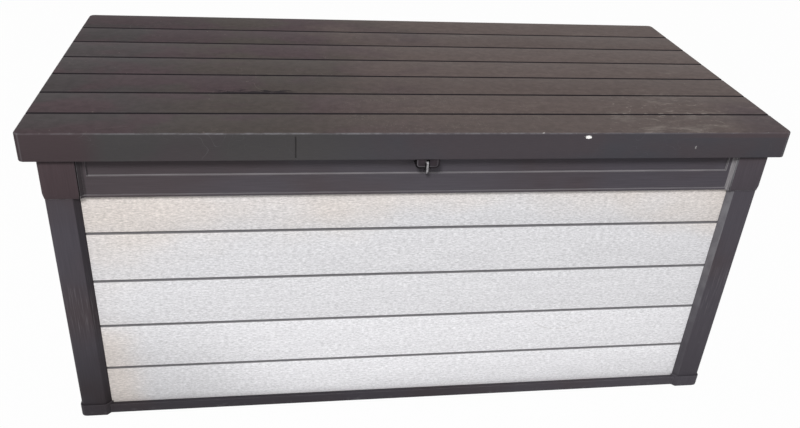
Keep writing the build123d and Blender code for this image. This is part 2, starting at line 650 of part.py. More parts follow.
def make_body_bracket():
    """Plate on the post's inner face with a stud for the strut's eye."""
    post_face = POST_X - POST_SIZE
    plate = Box(BRACKET_PLATE, BRACKET_WIDTH, BRACKET_HEIGHT)
    plate = Pos(post_face - BRACKET_PLATE / 2, BODY_ANCHOR_Y, BODY_ANCHOR_Z) * plate
    return plate + make_stud(post_face - BRACKET_PLATE, BODY_ANCHOR_Y, BODY_ANCHOR_Z, STRUT_EYE_THICKNESS)


def make_lid_bracket():
    """Angle bracket under the liner, with a tapered web that carries the stud for the rod end."""
    web_x = STRUT_X + ROD_END_THICKNESS / 2 + BRACKET_SIDE_GAP
    half = LID_BRACKET_WIDTH / 2
    top = RIM_Z - LID_ANCHOR_Z
    flange = block(web_x - LID_BRACKET_FLANGE, web_x, -half, half, top - BRACKET_PLATE, top)
    foot = Circle(LID_BRACKET_FOOT_RADIUS)
    shoulder = Pos(0, top - BRACKET_PLATE / 2) * Rectangle(LID_BRACKET_WIDTH, BRACKET_PLATE)
    web = extrude(Plane.YZ * make_hull(foot.edges() + shoulder.edges()), BRACKET_PLATE)
    bracket = flange + Pos(web_x, 0, 0) * web
    bracket = Pos(0, LID_ANCHOR_Y, LID_ANCHOR_Z) * bracket
    return bracket + make_stud(web_x, LID_ANCHOR_Y, LID_ANCHOR_Z, ROD_END_THICKNESS)


def make_lock_clevis():
    """Two rounded lobes under the lid's front edge, drilled for a padlock, on a tab inside the skirt."""
    lobe_width = (CLEVIS_WIDTH - CLEVIS_SLOT) / 2
    lobe = block(0, lobe_width, CLEVIS_FRONT_Y, CLEVIS_REAR_Y, CLEVIS_LOW_Z, SKIRT_Z)
    outer_low = lobe.edges().filter_by(Axis.Y).group_by(Axis.Z)[0].sort_by(Axis.X)
    lobe = fillet(outer_low[1], CLEVIS_LOBE_ROUND)
    right = Pos(CLEVIS_SLOT / 2, 0, 0) * lobe
    clevis = right + mirror(right, Plane.YZ)
    tab_front = LID_FRONT_Y + LID_SKIRT_WALL
    half = CLEVIS_WIDTH / 2
    clevis += block(-half, half, tab_front, tab_front + CLEVIS_TAB, SKIRT_Z, SKIRT_Z + CLEVIS_TAB_HEIGHT)
    return clevis - rod_x(-half, half, PADLOCK_Y, PADLOCK_Z, PADLOCK_HOLE_RADIUS)


def make_lock_eye():
    """Steel eye between the lobes, pushed through the rail from inside up to its flange."""
    depth = RECESS_Y - EYE_NOSE_Y
    middle_z = (EYE_LOW_Z + EYE_HIGH_Z) / 2
    half = EYE_PLATE / 2
    rail_inside = POST_FRONT_Y + RAIL_BACK
    plate = block(-half, half, EYE_NOSE_Y, rail_inside, EYE_LOW_Z, EYE_HIGH_Z)
    nose = plate.edges().filter_by(Axis.X).group_by(Axis.Y)[0]
    plate = fillet(nose, depth / 2)
    plate -= rod_x(-half, half, PADLOCK_Y, PADLOCK_Z, PADLOCK_HOLE_RADIUS)
    flange = Box(EYE_FLANGE_WIDTH, EYE_FLANGE, EYE_HEIGHT)
    return plate + Pos(0, rail_inside + EYE_FLANGE / 2, middle_z) * flange


def save(name, part):
    """Writes one node."""
    part.label = name
    export_step(part, os.path.join("parts", f"{name}.step"))


def build_lid():
    """Writes the lid's own pieces."""
    save("lid_shell", make_lid_shell())
    save("lid_liner", make_lid_liner())
    save("lock_clevis", make_lock_clevis())


def build_body():
    """Writes the tray, corners, walls and padlock eye."""
    save("base_tray", make_base_tray())
    for name, *site in corner_sites():
        save(f"post_{name}", at_corner(make_post(), *site))
        save(f"collar_{name}", at_corner(make_collar(), *site))
        save(f"foot_{name}", at_corner(make_foot(), *site))
    for name, turn, (x, y), clear_width in wall_sites():
        place = Pos(x, y, 0) * Rot(0, 0, turn)
        rail = make_rail(clear_width)
        if name == "front":
            rail = recess_front_rail(rail, clear_width)
        save(f"{name}_rail", place * rail)
        save(f"{name}_panel", place * make_panel(clear_width))
    save("lock_eye", make_lock_eye())


def build_hinges():
    """Writes each hinge's two leaves and pin."""
    for index in range(HINGE_COUNT):
        x = (index - (HINGE_COUNT - 1) / 2) * HINGE_PITCH
        save(f"hinge_body_leaf_{index + 1}", make_hinge_body_leaf(x))
        save(f"hinge_lid_leaf_{index + 1}", make_hinge_lid_leaf(x))
        save(f"hinge_pin_{index + 1}", make_hinge_pin(x))


def build_struts():
    """Writes the right strut's pieces and their mirror images on the left."""
    pieces = [
        ("strut_cylinder", lean(make_strut_cylinder())),
        ("strut_rod", lean(make_strut_rod())),
        ("strut_body_bracket", make_body_bracket()),
        ("strut_lid_bracket", make_lid_bracket()),
    ]
    for name, part in pieces:
        save(f"right_{name}", part)
        save(f"left_{name}", mirror(part, Plane.YZ))


os.makedirs("parts", exist_ok=True)
build_lid()
build_body()
build_hinges()
build_struts()
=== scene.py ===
import math

import bmesh
import bpy
from mathutils import Matrix, Vector


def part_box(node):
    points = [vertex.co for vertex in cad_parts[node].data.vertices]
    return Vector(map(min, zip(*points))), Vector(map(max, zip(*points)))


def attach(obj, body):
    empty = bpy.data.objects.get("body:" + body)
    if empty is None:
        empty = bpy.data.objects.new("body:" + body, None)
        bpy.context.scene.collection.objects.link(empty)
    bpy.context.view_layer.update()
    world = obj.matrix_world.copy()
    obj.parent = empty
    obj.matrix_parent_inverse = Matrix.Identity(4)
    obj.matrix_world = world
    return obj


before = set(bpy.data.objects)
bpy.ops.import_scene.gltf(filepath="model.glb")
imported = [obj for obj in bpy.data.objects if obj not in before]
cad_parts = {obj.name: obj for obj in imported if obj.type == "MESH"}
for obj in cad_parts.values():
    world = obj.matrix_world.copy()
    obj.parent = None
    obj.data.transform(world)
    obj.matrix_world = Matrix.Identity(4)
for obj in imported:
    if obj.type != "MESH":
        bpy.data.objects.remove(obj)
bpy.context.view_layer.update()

# Camera, as found from the photograph's perspective. Its rows point right, down and forward.
CAMERA_PLACE = Vector((-0.27780, -1.68093, 1.27858))
CAMERA_RIGHT = Vector((0.988826, -0.136132, 0.060774))
CAMERA_DOWN = Vector((-0.016102, -0.502801, -0.864251))
CAMERA_FORWARD = Vector((0.148209, 0.853615, -0.499375))
CAMERA_LENS = 36.128
CAMERA_SENSOR = 36.0

# Places on the box, in metres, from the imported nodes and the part's sizes
LID_LOW, LID_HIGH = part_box("lid_shell")
CLEVIS_LOW, CLEVIS_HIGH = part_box("lock_clevis")
PANEL_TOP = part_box("front_panel")[1].z
LID_FIRST_GROOVE = LID_LOW.y + 0.0885
LID_PLANK_PITCH = 0.1013
WALL_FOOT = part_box("base_tray")[1].z
WALL_GROOVE_LOW = 0.125
WALL_GROOVE_PITCH = 0.10967
GROOVE_HALF_WIDTH = 0.003
SILL_Z = 0.5800
SILL_HALF = 0.6215
BEAD_TOP = 0.5412
LOBE_ROUND = 0.009

# Marks that the photograph shows, as places and sizes on the box in metres
CHIP_X = 0.3076
CHIP_Z = 0.6630
CHIP_SIZE = 0.0070
SMEAR_X = -0.321
SMEAR_HALF = 0.094
SMEAR_GROOVE = 1
DUST_X = 0.50
DUST_HALF = 0.12
DUST_BACK_Y = -0.09
DUST_FRONT_Y = -0.24
STAIN_X = 0.64
SEAM_X = -0.247
SKIRT_END_X = -0.60
NICK_X = 0.5315
NICK_Z = 0.6405
NICK_SIZE = 0.0016
WALL_SCRATCH_X = 0.330
WALL_SCRATCH_Z = 0.268
WALL_SCRATCH_RADIUS = 0.085
POST_SCUFF_Z = 0.28
POST_SCUFF_HALF = 0.07

# Colours, linear
LID_GREY = (0.048, 0.041, 0.042, 1)
LID_EARTH = (0.056, 0.046, 0.042, 1)
LID_MAROON = (0.056, 0.039, 0.043, 1)
LID_MAROON_PALE = (0.065, 0.049, 0.053, 1)
# Brown of stains, also used for the painted sheen towards the right of the lid
LID_BROWN_AND_SHEEN = (0.092, 0.071, 0.066, 1)
LID_SKIRT = (0.053, 0.050, 0.051, 1)
LID_SLATE = (0.049, 0.048, 0.056, 1)
LID_DUST = (0.16, 0.135, 0.12, 1)
LID_PALE_DUST = (0.24, 0.21, 0.19, 1)
# Near black of the painted shade in the lid's grooves, also used for one dark smear
GROOVE_SHADE_AND_SMEAR = (0.010, 0.008, 0.010, 1)
DARK_COOL = (0.060, 0.054, 0.064, 1)
DARK_WARM = (0.057, 0.046, 0.051, 1)
# Pale grey of worn edges, scratches and dust, also used for painted highlights and a painted reflection
WORN_AND_HIGHLIGHT_GREY = (0.19, 0.186, 0.198, 1)
# Pale grey of the painted highlights on the front rail
RAIL_HIGHLIGHT = (0.262, 0.250, 0.256, 1)
# Painted shade of the padlock lobes, and the near black of their painted shadow outline
LOBE_SHADE = (0.026, 0.021, 0.025, 1)
LOBE_SHADOW_LINE = (0.006, 0.005, 0.006, 1)
PLANK_WARM = (0.70, 0.645, 0.610, 1)
PLANK_COOL = (0.700, 0.695, 0.715, 1)
PLANK_FLECK = (0.46, 0.435, 0.42, 1)
# Grey of the painted shade in the grooves of the wall planks
PLANK_GROOVE_SHADE = (0.085, 0.082, 0.088, 1)
BARE_WHITE = (0.88, 0.87, 0.85, 1)
ZINC = (0.60, 0.61, 0.62, 1)
ZINC_DULL = (0.40, 0.41, 0.43, 1)
STEEL = (0.36, 0.35, 0.36, 1)
STEEL_DULL = (0.035, 0.033, 0.035, 1)
STRUT_BLACK = (0.018, 0.018, 0.019, 1)
STRUT_GREY = (0.035, 0.035, 0.037, 1)
CHROME = (0.82, 0.82, 0.83, 1)
CHROME_DULL = (0.62, 0.62, 0.64, 1)


class Shader:
    """One material's node tree, with short calls for the nodes used here."""

    def __init__(self, name):
        self.material = bpy.data.materials.new(name)
        self.material.use_nodes = True
        self.tree = self.material.node_tree
        self.surface = self.tree.nodes["Principled BSDF"]
        place = self.tree.nodes.new("ShaderNodeTexCoord")
        self.place = place.outputs["Object"]
        self.normal = place.outputs["Normal"]
        self.x, self.y, self.z = self.split(self.place)

    def plug(self, socket, value):
        """Links another node's output, or sets a plain value."""
        if isinstance(value, bpy.types.NodeSocket):
            self.tree.links.new(value, socket)
        else:
            socket.default_value = value

    def node(self, kind, inputs, **settings):
        made = self.tree.nodes.new(kind)
        for key, value in settings.items():
            setattr(made, key, value)
        for key, value in inputs.items():
            self.plug(made.inputs[key], value)
        return made

    def math(self, operation, first, second=None):
        values = {0: first} if second is None else {0: first, 1: second}
        return self.node("ShaderNodeMath", values, operation=operation).outputs[0]

    def split(self, vector):
        return self.node("ShaderNodeSeparateXYZ", {0: vector}).outputs

    def join(self, x, y, z):
        return self.node("ShaderNodeCombineXYZ", {0: x, 1: y, 2: z}).outputs[0]

    def stretch(self, vector, scale, turn=(0, 0, 0)):
        inputs = {"Vector": vector, "Scale": scale, "Rotation": turn}
        return self.node("ShaderNodeMapping", inputs).outputs[0]

    def noise(self, vector, scale, detail=3.0, rough=0.55, warp=0.0):
        inputs = {"Vector": vector, "Scale": scale, "Detail": detail}
        inputs.update({"Roughness": rough, "Distortion": warp})
        return self.node("ShaderNodeTexNoise", inputs).outputs["Fac"]

    def drawn(self, scale, detail=3.0, rough=0.55, warp=0.0, vector=None):
        """Noise with its own scale along each axis."""
        stretched = self.stretch(self.place if vector is None else vector, scale)
        return self.noise(stretched, 1.0, detail, rough, warp)

    def cells(self, vector, scale, feature="F1"):
        inputs = {"Vector": vector, "Scale": scale}
        return self.node("ShaderNodeTexVoronoi", inputs, feature=feature).outputs

    def ease(self, value, start, end, low=0.0, high=1.0):
        """Goes smoothly from low to high as value goes from start to end."""
        inputs = {"Value": value, "From Min": start, "From Max": end, "To Min": low, "To Max": high}
        return self.node("ShaderNodeMapRange", inputs, interpolation_type="SMOOTHSTEP").outputs[0]

    def near(self, value, centre, half, fade):
        """1 within half of centre, falling to 0 over fade."""
        gap = self.math("ABSOLUTE", self.math("SUBTRACT", value, centre))
        return self.ease(gap, half, half + fade, 1.0, 0.0)

    def both(self, first, second):
        """Two masks at once, as their product."""
        return self.math("MULTIPLY", first, second)

    def length(self, across, up):
        """Length of a flat vector."""
        return self.math("SQRT", self.math("ADD", self.both(across, across), self.both(up, up)))

    def mix(self, factor, first, second):
        inputs = {0: factor, 6: first, 7: second}
        return self.node("ShaderNodeMix", inputs, data_type="RGBA").outputs[2]

    def shade(self, colour, factor):
        """Colour made lighter or darker by a factor about 1."""
        inputs = {0: 1.0, 6: colour, 7: self.join(factor, factor, factor)}
        made = self.node("ShaderNodeMix", inputs, data_type="RGBA", blend_type="MULTIPLY")
        return made.outputs[2]

    def repeat_gap(self, value, first, pitch):
        """Distance from value to the nearest of a row of evenly spaced lines."""
        inputs = {0: value, 1: first + pitch / 2, 2: first - pitch / 2}
        wrapped = self.node("ShaderNodeMath", inputs, operation="WRAP").outputs[0]
        return self.math("ABSOLUTE", self.math("SUBTRACT", wrapped, first))

    def row_tone(self, value, first, pitch):
        """Random value from 0 to 1 for each of a row of planks between evenly spaced lines."""
        plank = self.math("FLOOR", self.math("DIVIDE", self.math("SUBTRACT", value, first), pitch))
        return self.node("ShaderNodeTexWhiteNoise", {"W": plank}, noise_dimensions="1D").outputs["Value"]

    def scratches(self, vector, scale, width, patch_scale, patch_start):
        """Thin wandering lines, only in some patches."""
        bent = self.noise(vector, scale * 1.7, 2.0)
        moved = self.node("ShaderNodeVectorMath", {0: vector, 1: self.join(bent, 0.0, bent)}).outputs[0]
        edge = self.cells(moved, scale, "DISTANCE_TO_EDGE")["Distance"]
        line = self.ease(edge, 0.0, width, 1.0, 0.0)
        patch = self.noise(vector, patch_scale, 2.0)
        return self.both(line, self.ease(patch, patch_start, patch_start + 0.08))

    def specks(self, vector, scale, size, share):
        """Small dots in a share of the cells of a grid."""
        cell = self.cells(vector, scale)
        dot = self.ease(cell["Distance"], size * 0.6, size, 1.0, 0.0)
        chance = self.split(cell["Color"])[0]
        return self.both(dot, self.math("LESS_THAN", chance, share))

    def edge_wear(self, radius, start, end):
        """1 on sharp edges, from the difference between the true and a rounded normal."""
        rounded = self.node("ShaderNodeBevel", {"Radius": radius}, samples=6).outputs[0]
        true = self.node("ShaderNodeNewGeometry", {}).outputs["Normal"]
        inputs = {0: rounded, 1: true}
        match = self.node("ShaderNodeVectorMath", inputs, operation="DOT_PRODUCT").outputs["Value"]
        return self.ease(match, start, end)

    def bump(self, height, distance, strength, under=None):
        inputs = {"Height": height, "Distance": distance, "Strength": strength}
        if under is not None:
            inputs["Normal"] = under
        return self.node("ShaderNodeBump", inputs).outputs[0]

    def finish(self, colour, roughness, normal, **constants):
        inputs = self.surface.inputs
        self.plug(inputs["Base Color"], colour)
        self.plug(inputs["Roughness"], roughness)
        self.plug(inputs["Normal"], normal)
        for key, value in constants.items():
            inputs[key.replace("_", " ")].default_value = value
        return self.material


# Lid finish: noise scales per metre along X, Y and Z, and the spans over which its tints, its painted sheen
# and its painted shade change, in metres
LID_GRAIN = (7, 380, 380)
LID_FINE_GRAIN = (60, 900, 900)
LID_PATCHES = (4.5, 7.0, 7.0)
LID_STAINS = (2.4, 5.0, 5.0)
LID_DUST_CLOUDS = (9, 22, 22)
LID_MOTTLE = (55, 70, 70)
LID_EDGE_WEAR = (34, 90, 90)
LID_FLAKES = (90, 200, 200)
SKIRT_PATCHES = (3.4, 3.4, 5.0)
DUST_STREAKS = (42, 55, 55)
DUST_STREAK_TURN = (0, 0, 0.5)
GROOVE_DUST = (40, 8, 8)
SMEAR_EDGE = (45, 130, 130)
EARTH_SPAN = (-0.60, -0.38)
SHEEN_SPAN = (-0.64, 0.72)
FADED_X = 0.05
FADED_HALF = 0.10
FADED_BLUR = 0.28
FADED_DEPTH = (LID_LOW.y + 0.12, LID_LOW.y + 0.30)
BACK_LEFT_SHADE_SPAN = (-0.65, -0.20)
BACK_LEFT_SHADE_DEPTH = (0.02, 0.25)
STAIN_SPAN = (STAIN_X - 0.05, STAIN_X + 0.05)
STAIN_DEPTH = (-0.24, -0.16)
SLATE_SPAN = (SEAM_X, SEAM_X + 0.25)
SKIRT_END_SPAN = (SKIRT_END_X - 0.03, SKIRT_END_X + 0.03)
BROW_SPAN = (0.40, STAIN_X)
BROW_HEIGHT = (LID_HIGH.z - 0.013, LID_HIGH.z - 0.009)
CORNER_LINE_X = LID_HIGH.x - 0.0085
CORNER_SHADE_SPAN = (LID_HIGH.x - 0.0065, LID_HIGH.x - 0.0035)
WEAR_RIGHT_SPAN = (0.10, 0.55)
WEAR_LEFT_SPAN = (-0.62, -0.40)
GROOVE_BLUR = 0.0012
GROOVE_END_SPAN = (LID_HIGH.y - 0.012, LID_HIGH.y - 0.008)
GROOVE_HEIGHT = (LID_HIGH.z - 0.010, LID_HIGH.z - 0.006)
LID_FRONT_DEPTH = (LID_LOW.y + 0.006, LID_LOW.y + 0.010)


def lid_resin():
    """Weathered lid: smooth grain along its planks, patchy stains, a painted sheen towards the right,
    painted shade in the grooves and a worn front edge with a painted highlight.
    """
    s = Shader("lid_resin")
    grain = s.drawn(LID_GRAIN, 4.0, 0.6)
    fine = s.drawn(LID_FINE_GRAIN, 2.0)
    stain = s.drawn(LID_STAINS, 4.0, 0.6, 0.4)
    line = s.scratches(s.place, 6.5, 0.005, 5.0, 0.50)
    upward = s.split(s.normal)[2]
    top = lid_top(s, grain, stain, line)
    skirt = lid_skirt(s, fine, line)
    colour = s.mix(s.ease(upward, 0.55, 0.92), skirt, top)
    colour = round_wear_and_highlight(s, colour, upward)
    # Painted shade in the grooves between the lid's planks
    colour = s.mix(lid_groove_shade(s), colour, GROOVE_SHADE_AND_SMEAR)
    marks = s.math("MAXIMUM", chip_mask(s), nick_mask(s))
    colour = s.mix(marks, colour, BARE_WHITE)
    rough = s.ease(s.math("ADD", s.both(grain, 0.5), s.both(stain, 0.5)), 0.3, 0.7, 0.52, 0.68)
    normal = s.bump(grain, 0.0003, 0.20)
    normal = s.bump(fine, 0.0002, 0.22, normal)
    return s.finish(colour, rough, normal, Specular_IOR_Level=0.08)


def lid_top(s, grain, stain, line):
    """Colour of the planks: tinted patches under grain, a painted sheen towards the right, dust, scratches,
    specks and one dark smear.
    """
    tone = s.row_tone(s.y, LID_FIRST_GROOVE, LID_PLANK_PITCH)
    # Painted sheen: the lid's top made lighter and browner towards the right
    sheen = s.ease(s.x, *SHEEN_SPAN, -0.34, 0.36)
    lightened = s.ease(s.y, *FADED_DEPTH, 0.62, 0.14)
    lightened = s.both(lightened, s.near(s.x, FADED_X, FADED_HALF, FADED_BLUR))
    top = lid_tints(s, tone, s.math("ADD", stain, sheen), lightened)
    dust = s.drawn(LID_DUST_CLOUDS, 6.0, 0.72, 0.7)
    # Dust clouds, a little thicker towards the right along with the painted sheen
    dust_and_sheen = s.ease(s.math("ADD", dust, s.both(sheen, 0.12)), 0.58, 0.78, 0.0, 0.42)
    top = s.mix(dust_and_sheen, top, LID_DUST)
    top = s.mix(dusty_corner(s, dust), top, LID_PALE_DUST)
    mottle = s.drawn(LID_MOTTLE, 5.0, 0.7, 0.4)
    top = s.shade(top, s.ease(grain, 0.25, 0.75, 0.88, 1.12))
    top = s.shade(top, s.ease(mottle, 0.30, 0.70, 0.86, 1.14))
    top = s.shade(top, s.ease(tone, 0.0, 1.0, 0.95, 1.05))
    top = s.mix(s.both(line, 0.45), top, LID_DUST)
    top = s.mix(s.both(s.specks(s.place, 34.0, 0.07, 0.22), 0.7), top, LID_DUST)
    top = s.mix(s.both(s.specks(s.place, 13.0, 0.022, 0.28), 0.6), top, BARE_WHITE)
    grit = s.both(s.specks(s.place, 230.0, 0.45, 0.50), s.ease(lightened, 0.20, 0.60, 0.0, 0.45))
    top = s.mix(s.both(grit, s.ease(dust, 0.40, 0.60)), top, LID_DUST)
    return s.mix(groove_smear(s), top, GROOVE_SHADE_AND_SMEAR)


def lid_tints(s, tone, stain_and_sheen, lightened):
    """Grey and maroon patches, browner where stained and under the painted sheen, paler in places, with
    painted shade at the back left.
    """
    shifted = s.join(s.math("ADD", s.x, s.both(tone, 3.0)), s.y, s.z)
    patch = s.drawn(LID_PATCHES, 3.0, 0.55, 0.3, shifted)
    grey = s.mix(s.ease(s.x, *EARTH_SPAN), LID_GREY, LID_EARTH)
    top = s.mix(s.ease(patch, 0.42, 0.58), grey, LID_MAROON)
    top = s.mix(s.ease(stain_and_sheen, 0.35, 0.63), top, LID_BROWN_AND_SHEEN)
    top = s.mix(lightened, top, LID_BROWN_AND_SHEEN)
    # Painted shade: the back left of the lid's top made darker
    back_left_shade = s.both(s.ease(s.x, *BACK_LEFT_SHADE_SPAN, 1.0, 0.0), s.ease(s.y, *BACK_LEFT_SHADE_DEPTH))
    top = s.shade(top, s.ease(back_left_shade, 0.0, 1.0, 1.0, 0.84))
    stained = s.both(s.ease(s.x, *STAIN_SPAN, 0.0, 0.85), s.ease(s.y, *STAIN_DEPTH, 1.0, 0.0))
    return s.mix(stained, top, LID_MAROON_PALE)


def lid_skirt(s, fine, line):
    """Colour of the skirt: slate right of its seam, maroon at its left end, with painted shade on its
    rounded upright corners and a pale line beside it.
    """
    patch = s.drawn(SKIRT_PATCHES)
    skirt = s.mix(s.ease(s.x, *SLATE_SPAN), LID_SKIRT, LID_SLATE)
    skirt = s.mix(s.ease(patch, 0.42, 0.60, 0.0, 0.7), skirt, DARK_WARM)
    skirt = s.mix(s.ease(s.x, *SKIRT_END_SPAN, 0.8, 0.0), skirt, LID_MAROON)
    skirt = s.shade(skirt, s.ease(fine, 0.2, 0.8, 0.94, 1.06))
    skirt = s.mix(s.both(line, 0.22), skirt, WORN_AND_HIGHLIGHT_GREY)
    brow = s.both(s.ease(s.x, *BROW_SPAN), s.ease(s.z, *BROW_HEIGHT))
    skirt = s.mix(s.both(brow, 0.8), skirt, LID_MAROON_PALE)
    out = s.math("ABSOLUTE", s.x)
    skirt = s.mix(s.both(s.near(out, CORNER_LINE_X, 0.0006, 0.0012), 0.22), skirt, WORN_AND_HIGHLIGHT_GREY)
    # Painted shade on the rounded upright corners
    return s.shade(skirt, s.ease(out, *CORNER_SHADE_SPAN, 1.0, 0.66))


def round_wear_and_highlight(s, colour, upward):
    """Adds wear with a painted highlight, and flaked wear, to the rounded top edge, strongest just left of
    the middle.
    """
    on_round = s.both(s.ease(upward, 0.15, 0.40), s.ease(upward, 0.80, 0.985, 1.0, 0.0))
    on_round = s.both(on_round, s.ease(s.x, *WEAR_RIGHT_SPAN, 1.0, 0.35))
    on_round = s.both(on_round, s.ease(s.x, *WEAR_LEFT_SPAN, 0.45, 1.0))
    worn = s.drawn(LID_EDGE_WEAR, 5.0, 0.75)
    # Pale wear on the round, which is also a painted highlight
    colour = s.mix(s.both(on_round, s.ease(worn, 0.38, 0.64, 0.12, 0.62)), colour, WORN_AND_HIGHLIGHT_GREY)
    flaked = s.drawn(LID_FLAKES)
    return s.mix(s.both(on_round, s.ease(flaked, 0.69, 0.75, 0.0, 0.7)), colour, BARE_WHITE)


def lid_groove_shade(s):
    """1 in the grooves between the planks, which painted shade darkens."""
    gap = s.repeat_gap(s.y, LID_FIRST_GROOVE, LID_PLANK_PITCH)
    inside = s.ease(s.math("ABSOLUTE", s.y), *GROOVE_END_SPAN, 1.0, 0.0)
    high = s.ease(s.z, *GROOVE_HEIGHT)
    return s.both(s.near(gap, 0.0, GROOVE_HALF_WIDTH, GROOVE_BLUR), s.both(inside, high))


def dusty_corner(s, dust):
    """Ragged marks of dust on the right end of the front planks, thicker along their grooves."""
    place = s.both(
        s.near(s.x, DUST_X, DUST_HALF * 0.5, DUST_HALF),
        s.ease(s.y, DUST_FRONT_Y, DUST_BACK_Y, 1.0, 0.0),
    )
    streak = s.noise(s.stretch(s.place, DUST_STREAKS, DUST_STREAK_TURN), 1.0, 5.0, 0.72, 0.8)
    marks = s.math("MAXIMUM", s.ease(dust, 0.48, 0.70, 0.0, 0.5), s.ease(streak, 0.56, 0.68, 0.0, 0.7))
    gap = s.repeat_gap(s.y, LID_FIRST_GROOVE, LID_PLANK_PITCH)
    broken = s.drawn(GROOVE_DUST)
    beside = s.near(gap, GROOVE_HALF_WIDTH + 0.0015, 0.001, 0.003)
    beside = s.both(beside, s.ease(broken, 0.48, 0.62, 0.0, 0.8))
    return s.both(place, s.math("MAXIMUM", marks, beside))


def spot(s, x, z, wide, tall, ragged):
    """Irregular spot on the lid's front, 1 inside it."""
    across = s.math("DIVIDE", s.math("SUBTRACT", s.x, x), wide)
    up = s.math("DIVIDE", s.math("SUBTRACT", s.z, z), tall)
    reach = s.math("ADD", s.length(across, up), s.ease(ragged, 0.2, 0.8, -0.5, 0.5))
    return s.both(s.ease(reach, 0.8, 1.0, 1.0, 0.0), s.ease(s.y, *LID_FRONT_DEPTH, 1.0, 0.0))


def chip_mask(s):
    """Small bare chip on the lid's front top edge."""
    return spot(s, CHIP_X, CHIP_Z, CHIP_SIZE, CHIP_SIZE * 0.5, s.noise(s.place, 320.0, 3.0))


def nick_mask(s):
    """Tiny pale nick on the lid's skirt."""
    return s.both(spot(s, NICK_X, NICK_Z, NICK_SIZE, NICK_SIZE * 2.2, s.noise(s.place, 500.0, 2.0)), 0.22)


def groove_smear(s):
    """Dark ragged smear along one plank groove."""
    groove_y = LID_FIRST_GROOVE + SMEAR_GROOVE * LID_PLANK_PITCH
    ragged = s.drawn(SMEAR_EDGE, 4.0, 0.65)
    far = s.math("SUBTRACT", s.y, groove_y)
    reach = s.math("ADD", far, s.ease(ragged, 0.3, 0.7, -0.024, 0.012))
    band = s.both(s.ease(reach, 0.0, 0.004, 0.85, 0.0), s.ease(far, -0.006, -0.002))
    return s.both(band, s.near(s.x, SMEAR_X, SMEAR_HALF * 0.6, SMEAR_HALF * 0.4))


# Dark resin: noise scales per metre, and the spans over which its tints, painted shade and painted
# highlights change, in metres
GRAIN_ALONG = 14.0
GRAIN_ACROSS = 520.0
PEBBLE_SCALE = 900.0
DARK_PATCHES = (3.2, 3.2, 4.5)
CHEEK_STREAKS = (600, 600, 12)
LOW_ZONE_HEIGHT = 0.34
LOW_SHADE_SPAN = (-0.60, 0.60)
COOL_SPAN = (0.2, 0.6)
COLLAR_TINT_SPAN = (-0.4, 0.4)
POST_SHADE_HEIGHT = (0.12, 0.45)
POST_SHEEN_HEIGHT = (0.08, 0.46)
COLLAR_SHEEN_HEIGHT = (PANEL_TOP, PANEL_TOP + 0.02)
RAIL_SHADE_SPAN = (-SILL_HALF - 0.006, -SILL_HALF - 0.003)
RAIL_CHEEK_SPAN = (SILL_HALF + 0.006, SILL_HALF + 0.009)
RAIL_LIGHTENED_SPAN = (-0.05, 0.40)
RAIL_LINE_BLUR = 0.0008
LOW_DUST_HEIGHT = (0.004, 0.026)
LOW_HIGHLIGHT_SPAN = (0.1, 0.5)


def dark_resin(name, along, wear_and_highlight_mask=None, shaded=None, tint=None, wear_and_highlight_colour=WORN_AND_HIGHLIGHT_GREY):
    """Charcoal moulded resin with a fine grain drawn out along one axis, worn on its edges, with painted
    shade towards the ground, most at the left.
    """
    s = Shader(name)
    grain = s.drawn(tuple(GRAIN_ALONG if axis == along else GRAIN_ACROSS for axis in "xyz"), 3.0, 0.6)
    pebble = s.noise(s.place, PEBBLE_SCALE, 2.0)
    patch = s.drawn(DARK_PATCHES)
    low = s.ease(s.z, 0.0, LOW_ZONE_HEIGHT, 1.0, 0.0)
    cool = s.both(low, s.ease(s.x, *COOL_SPAN, 0.0, 0.25))
    colour = s.mix(s.ease(s.math("SUBTRACT", patch, cool), 0.40, 0.62), DARK_COOL, DARK_WARM)
    if tint:
        colour = s.mix(tint(s), colour, LID_MAROON)
    if shaded:
        colour = s.shade(colour, shaded(s))
    colour = s.shade(colour, s.ease(grain, 0.25, 0.75, 0.90, 1.10))
    line = s.scratches(s.place, 9.0, 0.004, 5.0, 0.58)
    colour = s.mix(s.both(line, 0.30), colour, WORN_AND_HIGHLIGHT_GREY)
    colour = s.mix(s.both(s.specks(s.place, 34.0, 0.04, 0.10), 0.6), colour, WORN_AND_HIGHLIGHT_GREY)
    edge = s.edge_wear(0.0018, 0.985, 0.86)
    worn = s.noise(s.place, 60.0, 4.0, 0.65)
    colour = s.mix(s.both(edge, s.ease(worn, 0.35, 0.65, 0.25, 0.70)), colour, WORN_AND_HIGHLIGHT_GREY)
    if wear_and_highlight_mask:
        colour = s.mix(wear_and_highlight_mask(s, grain), colour, wear_and_highlight_colour)
    # Painted shade: darker towards the ground, most at the left
    low_shade = s.both(low, s.ease(s.x, *LOW_SHADE_SPAN, 1.0, 0.38))
    colour = s.shade(colour, s.ease(low_shade, 0.0, 1.0, 1.0, 0.57))
    rough = s.ease(patch, 0.3, 0.7, 0.48, 0.62)
    normal = s.bump(grain, 0.0002, 0.20)
    normal = s.bump(pebble, 0.0001, 0.30, normal)
    return s.finish(colour, rough, normal, Specular_IOR_Level=0.08)


